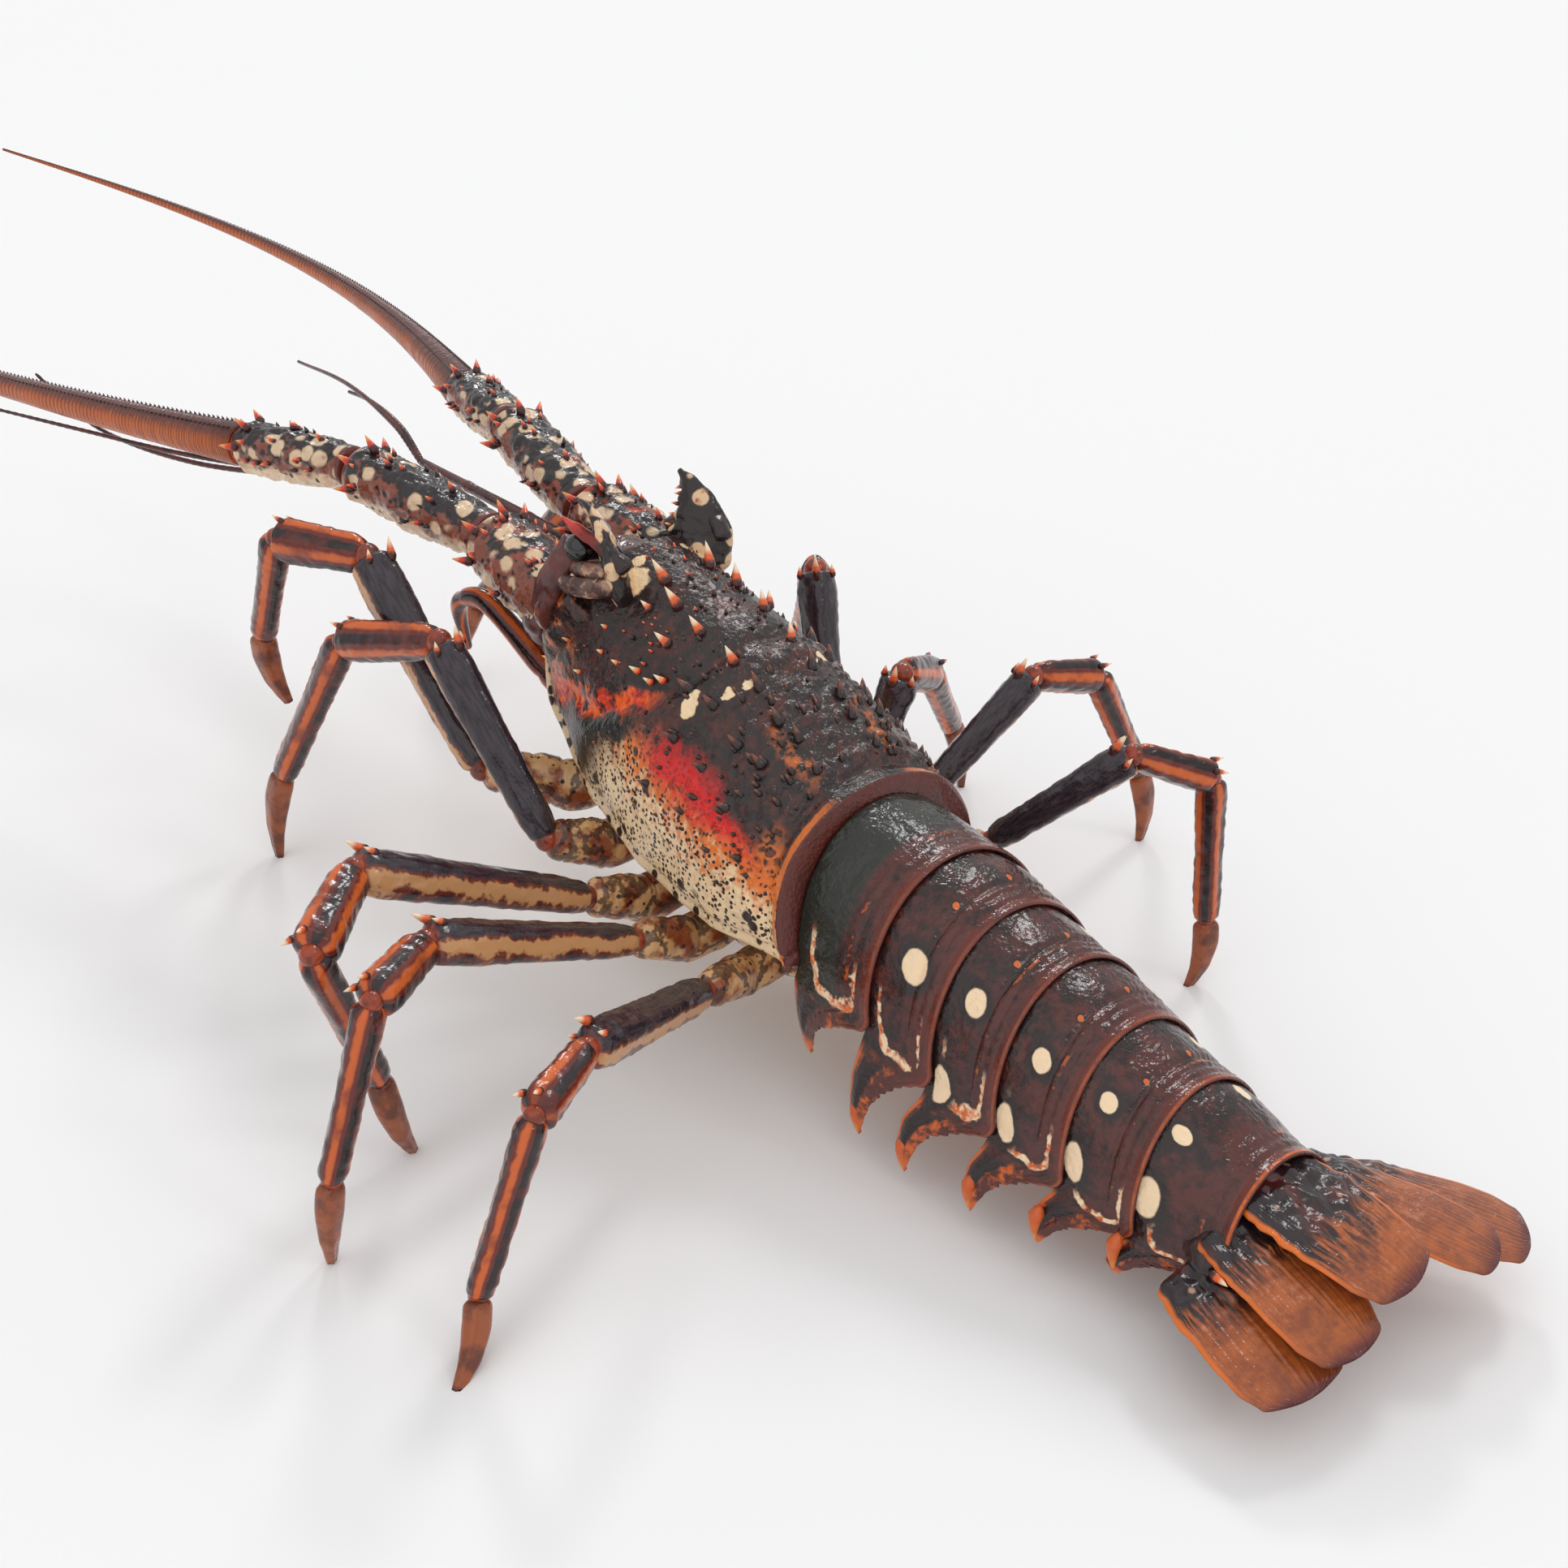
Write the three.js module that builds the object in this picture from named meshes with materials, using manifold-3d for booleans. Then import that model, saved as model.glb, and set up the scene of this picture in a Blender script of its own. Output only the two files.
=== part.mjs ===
// A spiny lobster at life size, standing on its walking legs.
// Millimetres. +Z is up, the head faces -Y and the animal's left side is +X.
import * as THREE from 'three';
import { mergeVertices } from 'three/addons/utils/BufferGeometryUtils.js';
import Module from 'manifold-3d';

const wasm = await Module();
wasm.setup();

// Driving dimensions
const CARAPACE_LENGTH = 100;
const UNIT = CARAPACE_LENGTH / 100;
const GAP = 0.3;
const SOLE_SINK = 0.9;
const FLAGELLUM_LENGTH = 300 * UNIT;
const FLAGELLUM_RADIUS = 6.6 * UNIT;
const FLAGELLUM_TIP_RADIUS = 0.5 * UNIT;
const FLAGELLUM_SPLIT = 0.42;
const EYE_RADIUS = 4.2 * UNIT;
const MITRE_LIMIT = 0.7;

const at = (x, y, z) => new THREE.Vector3(x, y, z).multiplyScalar(UNIT);
const mirrored = (point) => new THREE.Vector3(-point.x, point.y, point.z);
const sided = (point, side) => (side > 0 ? point.clone() : mirrored(point));
const mix = THREE.MathUtils.lerp;
const UP = new THREE.Vector3(0, 0, 1);

// Value of a smooth curve through evenly or unevenly placed [place, value] pairs
function along(pairs, place) {
  const last = pairs.length - 1;
  if (place <= pairs[0][0]) return pairs[0][1];
  if (place >= pairs[last][0]) return pairs[last][1];
  const next = pairs.findIndex(([p]) => p > place);
  const [p0, v0] = pairs[next - 1];
  const [p1, v1] = pairs[next];
  const t = (place - p0) / (p1 - p0);
  return mix(v0, v1, t * t * (3 - 2 * t) * 0.5 + t * 0.5);
}

// Signed volume of a merged geometry, negative where its faces point inwards
function signedVolume(places, index) {
  const corner = (i) => new THREE.Vector3().fromArray(places, index[i] * 3);
  let sum = 0;
  for (let i = 0; i < index.length; i += 3) {
    sum += corner(i).dot(corner(i + 1).cross(corner(i + 2))) / 6;
  }
  return sum;
}

// A closed three.js geometry as a solid that can be joined and cut, its faces turned outwards
function solid(geometry) {
  const bare = geometry.index ? geometry.toNonIndexed() : geometry;
  for (const name of Object.keys(bare.attributes)) {
    if (name !== 'position') bare.deleteAttribute(name);
  }
  const merged = mergeVertices(bare, 1e-3);
  const places = new Float32Array(merged.attributes.position.array);
  const index = new Uint32Array(merged.index.array);
  if (signedVolume(places, index) < 0) index.reverse();
  return new wasm.Manifold(new wasm.Mesh({ numProp: 3, vertProperties: places, triVerts: index }));
}

const join = (solids) => solids.reduce((whole, next) => whole.add(next));
const cut = (body, tools) => tools.reduce((left, tool) => left.subtract(tool), body);

// The largest body of a solid, which drops the slivers a cut can leave
function mainBody(shape) {
  const bodies = shape.decompose();
  return bodies.reduce((best, body) => (body.volume() > best.volume() ? body : best));
}

// A closed cylinder whose every point is placed by place(turn, share along)
function remapped(sides, steps, place) {
  const geometry = new THREE.CylinderGeometry(1, 1, 1, sides, steps);
  const position = geometry.attributes.position;
  for (let i = 0; i < position.count; i += 1) {
    const x = position.getX(i);
    const z = position.getZ(i);
    const radius = Math.hypot(x, z);
    const turn = radius > 1e-6 ? Math.atan2(x, z) : 0;
    const point = place(turn, 0.5 - position.getY(i), radius);
    position.setXYZ(i, point.x, point.y, point.z);
  }
  return geometry;
}

// A limb of oval section: stations hold a centre, a half width and a half height
function limb(stations, sides = 8, swell = 0, across = null) {
  const centres = stations.map((station) => station[0]);
  const last = stations.length - 1;
  const runs = centres.slice(1).map((centre, i) => centre.clone().sub(centres[i]).normalize());
  const frames = centres.map((centre, i) => {
    const before = runs[Math.max(i - 1, 0)];
    const ahead = before.clone().add(runs[Math.min(i, last - 1)]).normalize();
    const side = across ? across.clone() : new THREE.Vector3().crossVectors(ahead, UP);
    side.addScaledVector(ahead, -side.dot(ahead)).normalize();
    const top = new THREE.Vector3().crossVectors(side, ahead).normalize();
    return { ahead, side, top, mitre: 1 / Math.max(ahead.dot(before), MITRE_LIMIT) };
  });
  return solid(remapped(sides, last, (turn, share, radius) => {
    const i = Math.round(share * last);
    const { ahead, side, top, mitre } = frames[i];
    const [centre, halfWidth, halfHeight = halfWidth] = stations[i];
    const end = i === 0 ? -1 : Number(i === last);
    return centre.clone()
      .addScaledVector(ahead, end * swell)
      .addScaledVector(side, Math.sin(turn) * (halfWidth + swell) * radius)
      .addScaledVector(top, Math.cos(turn) * (halfHeight + swell) * radius * mitre);
  }));
}

// A spine: a slim cone with its root sunk in what it grows from
function spine(root, direction, length, radius, swell = 0) {
  const heading = direction.clone().normalize();
  const cone = new THREE.ConeGeometry(radius * UNIT + swell, length * UNIT + swell * 3, 5, 1);
  cone.applyQuaternion(new THREE.Quaternion().setFromUnitVectors(new THREE.Vector3(0, 1, 0), heading));
  const middle = root.clone().addScaledVector(heading, (length / 2 - 1.2) * UNIT);
  return solid(cone.translate(middle.x, middle.y, middle.z));
}

function ball(centre, radius, width = 10, height = 6) {
  return solid(new THREE.SphereGeometry(radius, width, height).translate(centre.x, centre.y, centre.z));
}

// Carapace: sections from the front notch (share 0) to the rear rim (share 1)
const CARAPACE = {
  ridgeY: [[0, -81], [0.25, -62], [0.5, -41], [0.75, -20], [1, 0]],
  ridgeZ: [[0, 112.5], [0.25, 107], [0.5, 98.5], [0.75, 87], [1, 74]],
  halfWidth: [[0, 20], [0.12, 24], [0.25, 27], [0.5, 31], [0.75, 33], [1, 31]],
  depth: [[0, 40], [0.12, 56], [0.25, 66], [0.5, 65], [0.75, 54], [1, 37]],
  lean: [[0, 0.72], [0.12, 0.5], [0.25, 0.34], [0.5, 0.2], [0.75, 0.04], [1, -0.14]],
  widest: 0.62,
};

// A point of the carapace skin: share runs front to rear, turn from the ridge round the side
function carapacePoint(share, turn, radius = 1, swell = 0) {
  const y = along(CARAPACE.ridgeY, share) * UNIT;
  const z = along(CARAPACE.ridgeZ, share) * UNIT;
  const halfWidth = along(CARAPACE.halfWidth, share) * UNIT + swell;
  const depth = along(CARAPACE.depth, share) * UNIT;
  const lean = along(CARAPACE.lean, share);
  const cosine = Math.cos(turn);
  const upper = depth * CARAPACE.widest;
  const reach = cosine > 0 ? upper + swell : (depth - upper) + swell;
  const drop = upper - reach * Math.sign(cosine) * Math.abs(cosine) ** (cosine > 0 ? 1 : 0.6);
  const sunk = mix(upper, drop, radius);
  const x = Math.sign(Math.sin(turn)) * Math.abs(Math.sin(turn)) ** 0.9 * halfWidth * radius;
  return new THREE.Vector3(x, y - lean * sunk, z - sunk);
}

function carapaceCore(swell = 0) {
  return solid(remapped(22, 9, (turn, share, radius) => {
    const point = carapacePoint(share, turn, radius, swell);
    if (share < 0.01) point.y -= swell;
    if (share > 0.99) point.y += swell;
    return point;
  }));
}

// Rows of forward spines on the carapace: turn from the ridge, places, length and radius
const SPINE_ROWS = [
  { turn: 0.2, places: [0.16, 0.26, 0.4, 0.54, 0.7, 0.86], length: 8, radius: 1.9 },
  { turn: 0.62, places: [0.3, 0.46, 0.62, 0.78], length: 7, radius: 1.8 },
  { turn: 1.05, places: [0.14, 0.34, 0.56, 0.74], length: 6, radius: 1.7 },
];

function carapaceSpines() {
  const spines = [];
  for (const row of SPINE_ROWS) {
    for (const place of row.places) {
      for (const side of [1, -1]) {
        const root = carapacePoint(place, side * row.turn);
        const inner = carapacePoint(place, side * row.turn, 0.6);
        const out = root.clone().sub(inner).normalize();
        spines.push(spine(root, out.add(at(0, -0.8, 0.2)), row.length, row.radius));
      }
    }
  }
  return spines;
}

// Horn over the eye: a flattened blade that curves up and forward
function horn(side, swell = 0) {
  const stations = [
    [at(12, -69, 103), 3.4, 7.6],
    [at(12.6, -73, 109), 3.4, 6.6],
    [at(13.6, -77.5, 114.5), 2.9, 4.8],
    [at(14.8, -83, 120), 2.0, 3.1],
    [at(16, -89.5, 125.5), 0.7, 0.9],
  ];
  return limb(stations.map(([p, w, h]) => [sided(p, side), w * UNIT, h * UNIT]), 8, swell, at(1, 0.1, 0));
}

// Eye: a stalk out of the notch under the horn and a bead at its end
function eye(side, swell = 0) {
  const bead = sided(at(17.2, -88.5, 113.5), side);
  const stalkRoot = sided(at(9.5, -86.5, 111), side);
  return join([
    ball(bead, EYE_RADIUS + swell),
    limb([[stalkRoot, 2.6 * UNIT], [bead, 3.1 * UNIT]], 8, swell),
  ]);
}

// Front plate between the antennae, with the mouth frame below it
function headPlate(swell = 0) {
  const stations = [
    [at(0, -84, 91), 15, 18],
    [at(0, -98, 93), 13, 16],
    [at(0, -108, 95), 9, 12],
    [at(0, -116, 97), 5, 7],
  ];
  return limb(stations.map(([p, w, h]) => [p, w * UNIT, h * UNIT]), 10, swell, at(1, 0, 0));
}

// Antenna: three heavy spiny segments and a long tapering flagellum
const ANTENNA_JOINTS = [at(17, -94, 94), at(16, -131, 102), at(26.3, -182, 110.5), at(38, -225, 108.6)];
const ANTENNA_SHAPE = [
  { radii: [10.5, 11.2, 9.4], spines: 3 },
  { radii: [8.2, 8.8, 7.8], spines: 4 },
  { radii: [7.2, 8.0, 7.2], spines: 4 },
];

function antennaSegment(side, index, swell = 0) {
  const from = sided(ANTENNA_JOINTS[index], side);
  const to = sided(ANTENNA_JOINTS[index + 1], side);
  const inset = GAP / 2 + 0.01;
  const length = from.distanceTo(to);
  const shape = ANTENNA_SHAPE[index];
  const stations = shape.radii.map((radius, i) => {
    const share = mix(inset / length, 1 - inset / length, i / (shape.radii.length - 1));
    return [from.clone().lerp(to, share), radius * UNIT, radius * UNIT * 0.94];
  });
  const body = limb(stations, 9, swell);
  const ahead = to.clone().sub(from).normalize();
  const side2 = new THREE.Vector3().crossVectors(ahead, UP).normalize();
  const top = new THREE.Vector3().crossVectors(side2, ahead);
  const spines = [];
  for (let i = 0; i < shape.spines; i += 1) {
    const share = mix(0.2, 0.88, i / (shape.spines - 1));
    const turn = (i % 3 - 1) * 0.95 + 0.15;
    const out = side2.clone().multiplyScalar(Math.sin(turn)).addScaledVector(top, Math.cos(turn));
    const root = from.clone().lerp(to, share).addScaledVector(out, shape.radii[1] * 0.92 * UNIT);
    spines.push(spine(root, out.clone().addScaledVector(ahead, 0.7), 5, 1.5, swell));
  }
  return join([body, ...spines]);
}

// Heading and rise of the flagellum, in degrees, at a share of its length
const FLAGELLUM_CURL = { left: -20, right: -63.5 };
const FLAGELLUM_LIFT = { left: -16, right: 14.3 };

function flagellumPath(side, steps = 60) {
  const word = side > 0 ? 'left' : 'right';
  const points = [sided(ANTENNA_JOINTS[3], side)];
  const pace = FLAGELLUM_LENGTH / steps;
  for (let i = 0; i < steps; i += 1) {
    const share = (i + 0.5) / steps;
    const heading = THREE.MathUtils.degToRad(18.9 - 9.6 * share + FLAGELLUM_CURL[word] * share ** 2);
    const rise = THREE.MathUtils.degToRad(-0.4 + 6.1 * share + FLAGELLUM_LIFT[word] * share ** 2);
    const step = at(side * Math.sin(heading) * Math.cos(rise), -Math.cos(heading) * Math.cos(rise), Math.sin(rise));
    points.push(points[i].clone().addScaledVector(step.normalize(), pace));
  }
  return new THREE.CatmullRomCurve3(points);
}

function flagellumRadius(share) {
  return mix(FLAGELLUM_RADIUS, FLAGELLUM_TIP_RADIUS, share ** 0.8);
}

function flagellum(side, from, to, steps) {
  const path = flagellumPath(side);
  const stations = [];
  for (let i = 0; i <= steps; i += 1) {
    const share = mix(from, to, i / steps);
    stations.push([path.getPointAt(share), flagellumRadius(share)]);
  }
  return limb(stations, 7);
}

// Antennule: a slim jointed stalk that forks into two threads
const ANTENNULE_STALK = [at(5, -117, 97), at(6.5, -150, 97), at(7.5, -204, 98)];
const ANTENNULE_THREADS = {
  left: [
    [at(7.5, -204, 98), at(22, -232, 95), at(42, -262, 97), at(58, -292, 100), at(76, -324, 104)],
    [at(7.5, -204, 98), at(20, -236, 92), at(38, -268, 92), at(52, -300, 98), at(60, -322, 112)],
  ],
  right: [
    [at(-7.5, -204, 98), at(-9, -216, 105), at(-11, -236, 108), at(-14, -256, 106)],
    [at(-7.5, -204, 98), at(-9, -220, 105), at(-13, -254, 109), at(-18, -296, 106)],
  ],
};

function antennule(side) {
  const stalk = ANTENNULE_STALK.map((p, i) => [sided(p, side), (2.4 - 0.55 * i) * UNIT]);
  const threads = ANTENNULE_THREADS[side > 0 ? 'left' : 'right'].map((points) => {
    const path = new THREE.CatmullRomCurve3(points);
    const steps = 8;
    const stations = Array.from({ length: steps + 1 }, (_, i) => [
      path.getPointAt(i / steps), mix(1.1, 0.5, i / steps) * UNIT,
    ]);
    return limb(stations, 5);
  });
  return join([limb(stalk, 7), ...threads]);
}

// Walking legs: joint places from the coxa to the tip, for each side from the front pair
const LEGS = {
  left: [
    [[24, -86, 48], [44, -101, 54], [45, -147, 100], [57, -174, 100], [55, -196, 63], [51, -194, 40]],
    [[27, -69, 39], [44, -73, 45], [50, -106, 91], [59, -140, 82], [65, -175, 29], [68, -180, 0]],
    [[29, -51, 32], [48, -51, 40], [109, -51, 74], [130, -33, 71], [114, -43, 24], [108, -42, 0]],
    [[29, -34, 28], [48, -32, 37], [105, -30, 64], [126, -17, 66], [139, -21, 23], [141, -23, 0]],
    [[26, -16, 26], [46, -8, 34], [92, 9, 51], [113, 20, 52], [129, 18, 12], [141, 26, 0]],
  ],
  right: [
    [[-24, -86, 48], [-42, -103, 54], [-50, -160, 86], [-52, -188, 78], [-40, -232, 32], [-36, -246, 0]],
    [[-27, -69, 39], [-46, -64, 47], [-61, -86, 85], [-81, -108, 67], [-109, -146, 25], [-117, -156, 0]],
    [[-29, -51, 32], [-44, -46, 44], [-53, -43, 71], [-76, -54, 59], [-107, -73, 24], [-113, -73, 0]],
    [[-29, -34, 28], [-46, -30, 38], [-81, -21, 69], [-105, -18, 62], [-128, -17, 23], [-129, -15, 0]],
    [[-26, -16, 27], [-41, 2, 44], [-62, 28, 72], [-82, 38, 62], [-85, 40, 19], [-80, 40, 0]],
  ],
};
const LEG_THICKNESS = [1.12, 1.06, 1, 0.95, 0.9];
// Half thickness of each length of a leg from its near joint to its far one
const LEG_SHAPE = {
  coxa: [[0, 5.4], [0.4, 6.1], [1, 4.4]],
  merus: [[0, 4.2], [0.14, 5], [0.86, 5.8], [1, 4.6]],
  carpus: [[0, 4.5], [0.8, 5.2], [1, 4.2]],
  propodus: [[0, 4.4], [0.5, 3.9], [1, 3.6]],
  dactyl: [[0, 3.5], [0.3, 3.9], [0.75, 2.4], [1, 1.25]],
};
const LENGTH_NAMES = Object.keys(LEG_SHAPE);

// Stations of one length of a leg; the last length is the dactyl, which bows and meets the floor
function legStations(joints, index, thickness) {
  const [from, to] = [joints[index], joints[index + 1]];
  const tip = index === 4;
  const bow = tip ? 2.2 * UNIT : 0;
  const outward = new THREE.Vector3(Math.sign(from.x), 0, 0);
  return LEG_SHAPE[LENGTH_NAMES[index]].map(([share, radius]) => {
    const centre = from.clone().lerp(to, share).addScaledVector(outward, bow * Math.sin(Math.PI * share));
    if (tip && share === 1 && to.z < 1) centre.z -= SOLE_SINK * UNIT;
    return [centre, radius * thickness * 0.86 * UNIT, radius * thickness * UNIT];
  });
}

function floorSlab() {
  return solid(new THREE.BoxGeometry(900, 900, 40).translate(0, -100, -20));
}

function legPart(side, pair, from, to, swell = 0) {
  const joints = LEGS[side > 0 ? 'left' : 'right'][pair].map((p) => at(...p));
  const thickness = LEG_THICKNESS[pair];
  const stations = legStations(joints, from, thickness);
  for (let i = from + 1; i <= to; i += 1) stations.push(...legStations(joints, i, thickness).slice(1));
  const reach = joints[from + 1].clone().sub(joints[from]);
  const across = reach.cross(joints[to + 1].clone().sub(joints[from + 1])).normalize();
  const body = limb(stations, 6, swell, across);
  if (from > 0) return body;
  const knee = joints[2].clone().lerp(joints[1], 0.06).addScaledVector(UP, 4 * UNIT);
  const out = new THREE.Vector3().subVectors(joints[2], joints[1]).normalize().add(at(0, 0, 0.35));
  return join([body, spine(knee, out, 6, 1.6, swell)]);
}

// Third maxilliped: a small folded limb beside the mouth
function maxilliped(side) {
  const stations = [
    [at(9, -88, 62), 3.6],
    [at(14, -104, 66), 3.6],
    [at(19, -132, 84), 2.9],
    [at(20, -144, 80), 2.5],
    [at(15, -150, 62), 1.2],
  ];
  return limb(stations.map(([p, w]) => [sided(p, side), w * UNIT]), 6, 0, at(1, 0, 0));
}

// Breast plate that carries the legs, widening to the rear
function breastPlate() {
  const stations = [
    [at(0, -92, 55), 11, 6],
    [at(0, -70, 40), 15, 6],
    [at(0, -45, 30), 18, 6],
    [at(0, -20, 24), 19, 6],
    [at(0, -4, 27), 16, 7],
  ];
  return limb(stations.map(([p, w, h]) => [p, w * UNIT, h * UNIT]), 10, 0, at(1, 0, 0));
}

// Tail rings: places of their edges along the back and the section at each edge
const RING_EDGES = [0.8, 24, 42.5, 60.5, 78.5, 96.5, 117];
const TAIL = {
  backZ: [[0, 73], [24, 68], [60, 57], [96, 45], [117, 37]],
  backX: [[0, 0], [96, 0], [117, -1]],
  halfWidth: [[0, 29.5], [24, 30], [60, 27], [96, 23], [117, 19]],
  height: [[0, 30], [24, 30], [60, 28], [96, 24], [117, 18]],
  bellyDepth: 7,
  lean: -0.14,
};
const PLEURON_TIPS = [[27, 8, 15], [31, 29, 5.5], [31, 44, 4], [30.5, 64, 5.5], [29, 82, 8], [27, 101, 12]];

function tailPoint(y, turn, radius, scale, swell = 0) {
  const halfWidth = along(TAIL.halfWidth, y) * UNIT * scale + swell;
  const height = along(TAIL.height, y) * UNIT * scale;
  const cosine = Math.cos(turn);
  const drop = cosine > 0
    ? height - (height + swell) * cosine
    : height + (TAIL.bellyDepth * UNIT + swell) * Math.abs(cosine) ** 0.5;
  const sunk = mix(height, drop, radius);
  const z = along(TAIL.backZ, y) * UNIT - height / scale * (1 - scale) - sunk;
  return new THREE.Vector3(
    along(TAIL.backX, y) * UNIT + Math.sin(turn) * halfWidth * radius,
    y * UNIT - TAIL.lean * sunk,
    z,
  );
}

function pleuron(index, side) {
  const [x, tipY, tipZ] = PLEURON_TIPS[index];
  const front = RING_EDGES[index] + 3.5;
  const rear = RING_EDGES[index + 1] + 2;
  const topZ = along(TAIL.backZ, (front + rear) / 2) - along(TAIL.height, (front + rear) / 2) + 5;
  const shift = 4;
  const outline = new THREE.Shape();
  outline.moveTo(front + shift - 1, topZ);
  outline.lineTo(rear + shift - 1, topZ);
  outline.lineTo(rear + shift - 1.5, mix(topZ, tipZ, 0.26));
  outline.quadraticCurveTo(mix(rear + shift, tipY, 0.5), mix(topZ, tipZ, 0.42), tipY + 5.5, mix(topZ, tipZ, 0.62));
  outline.quadraticCurveTo(tipY + 2.4, mix(topZ, tipZ, 0.78), tipY, tipZ);
  outline.quadraticCurveTo(tipY - 4.2, mix(topZ, tipZ, 0.66), front + shift - 2, mix(topZ, tipZ, 0.3));
  const plate = new THREE.ExtrudeGeometry(outline, { depth: 3.2, bevelEnabled: false, curveSegments: 2 });
  const position = plate.attributes.position;
  const rootX = along(TAIL.halfWidth, (front + rear) / 2);
  for (let i = 0; i < position.count; i += 1) {
    const y = position.getX(i);
    const z = position.getY(i);
    const inward = position.getZ(i);
    const hang = THREE.MathUtils.clamp((topZ - z) / (topZ - tipZ), 0, 1);
    const bulge = 1.2 * Math.sin(Math.PI * hang);
    const outer = mix(rootX - 1.4, x - 1.4, hang) + bulge;
    const thin = mix(3.2, 1.2, hang);
    const px = (outer - (3.2 - inward) / 3.2 * thin) * side;
    position.setXYZ(i, px * UNIT, y * UNIT, z * UNIT);
  }
  return solid(plate);
}

function tailRing(index) {
  const front = RING_EDGES[index] + GAP / 2 + 0.02;
  const rear = RING_EDGES[index + 1] - GAP / 2 - 0.02;
  const shell = solid(remapped(16, 2, (turn, share, radius) => {
    const swelling = [0.95, 0.98, 1][Math.round(share * 2)];
    return tailPoint(mix(front, rear, share), turn, radius, swelling);
  }));
  const leaves = index > 0 && index < 5 ? [swimmeret(index, 1), swimmeret(index, -1)] : [];
  return join([shell, pleuron(index, 1), pleuron(index, -1), ...leaves]);
}

// Tail fan: flat blades, each with a half width and half thickness along its length
const BLADE = [[0, 0.62, 1.5], [0.3, 0.9, 1.6], [0.66, 1, 1.1], [0.88, 0.8, 0.8], [1, 0.4, 0.5]];

function blade(root, tip, halfWidth, across) {
  const stations = BLADE.map(([share, wide, thick]) => [
    root.clone().lerp(tip, share), wide * halfWidth * UNIT, thick * UNIT,
  ]);
  return limb(stations, 12, 0, across);
}

const telson = () => blade(at(-1, 119.5, 29), at(-4, 150.5, 24.5), 12, at(1, 0.06, 0));
const endopod = (side) => blade(
  side > 0 ? at(12.5, 124, 24) : at(-15.5, 125, 24),
  side > 0 ? at(15, 151, 19) : at(-27, 154.5, 19.5),
  9.8,
  at(1, side * -0.1, side * -0.12),
);
const exopod = (side) => blade(
  side > 0 ? at(22, 121, 18.5) : at(-26, 126, 18.5),
  side > 0 ? at(26.5, 148, 14) : at(-41, 154, 15),
  10.6,
  at(1, side * -0.12, side * -0.16),
);
function uropodBase(side) {
  const centreX = side > 0 ? 15.5 : -19;
  return limb([
    [at(centreX - side * 5, 114, 22), 3.4 * UNIT, 3.6 * UNIT],
    [at(centreX, 118, 20.5), 5.5 * UNIT, 4.2 * UNIT],
    [at(centreX + side * 2.5, 122.5, 19.5), 5.5 * UNIT, 2.6 * UNIT],
  ], 8, 0, at(1, 0, 0));
}

// Swimmeret: a small leaf that hangs under a tail ring
function swimmeret(index, side) {
  const y = (RING_EDGES[index] + RING_EDGES[index + 1]) / 2 + 4;
  const belly = along(TAIL.backZ, y) - along(TAIL.height, y) - TAIL.bellyDepth;
  return limb([
    [at(side * 14, y + 2, belly + 2), 2 * UNIT, 1.2 * UNIT],
    [at(side * 13, y + 5, belly - 4), 5.4 * UNIT, 0.8 * UNIT],
    [at(side * 11, y + 9, belly - 9), 3 * UNIT, 0.6 * UNIT],
  ], 5, 0, at(1, 0, 0));
}

// Finishes
const finish = (color, roughness) => new THREE.MeshStandardMaterial({ color, roughness, metalness: 0 });
const SHELL = finish(0x3a2a28, 0.38);
const TAIL_SHELL = finish(0x4a2b28, 0.36);
const BELLY = finish(0xb98a63, 0.5);
const LEG = finish(0x7b3a24, 0.4);
const FEELER = finish(0x7a4a3a, 0.45);
const FAN = finish(0xb5642f, 0.42);
const EYE = finish(0x08080a, 0.08);

const lobster = new THREE.Group();

function addPiece(name, shape, material) {
  const { vertProperties, triVerts, numProp } = mainBody(shape).getMesh();
  if (numProp !== 3) throw new Error(`${name} holds more than places`);
  const geometry = new THREE.BufferGeometry();
  geometry.setAttribute('position', new THREE.BufferAttribute(new Float32Array(vertProperties), 3));
  geometry.setIndex(new THREE.BufferAttribute(new Uint32Array(triVerts), 1));
  geometry.computeVertexNormals();
  const mesh = new THREE.Mesh(geometry, material);
  mesh.name = name;
  lobster.add(mesh);
}

const sides = [[1, 'left'], [-1, 'right']];
const pairs = [0, 1, 2, 3, 4];

// Body shell, cut back where the horns, eyes, legs and antennae meet it
const swollenCore = carapaceCore(GAP);
const uppers = sides.map(([side]) => pairs.map((pair) => legPart(side, pair, 0, 1, 0)));
const hornTools = sides.map(([side]) => horn(side, GAP));
const eyeTools = sides.map(([side]) => eye(side, GAP));
const baseTools = sides.map(([side]) => antennaSegment(side, 0, GAP));
const legTools = sides.flatMap(([side]) => pairs.map((pair) => legPart(side, pair, 0, 1, GAP)));
const plate = cut(breastPlate(), legTools);
const carapace = cut(
  join([carapaceCore(), ...carapaceSpines()]),
  [...hornTools, ...eyeTools],
);
addPiece('carapace', carapace, SHELL);
const floor = floorSlab();

addPiece('head_plate', cut(headPlate(), [swollenCore, ...eyeTools, ...baseTools]), SHELL);
addPiece('breast_plate', cut(plate, [swollenCore]), BELLY);

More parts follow.
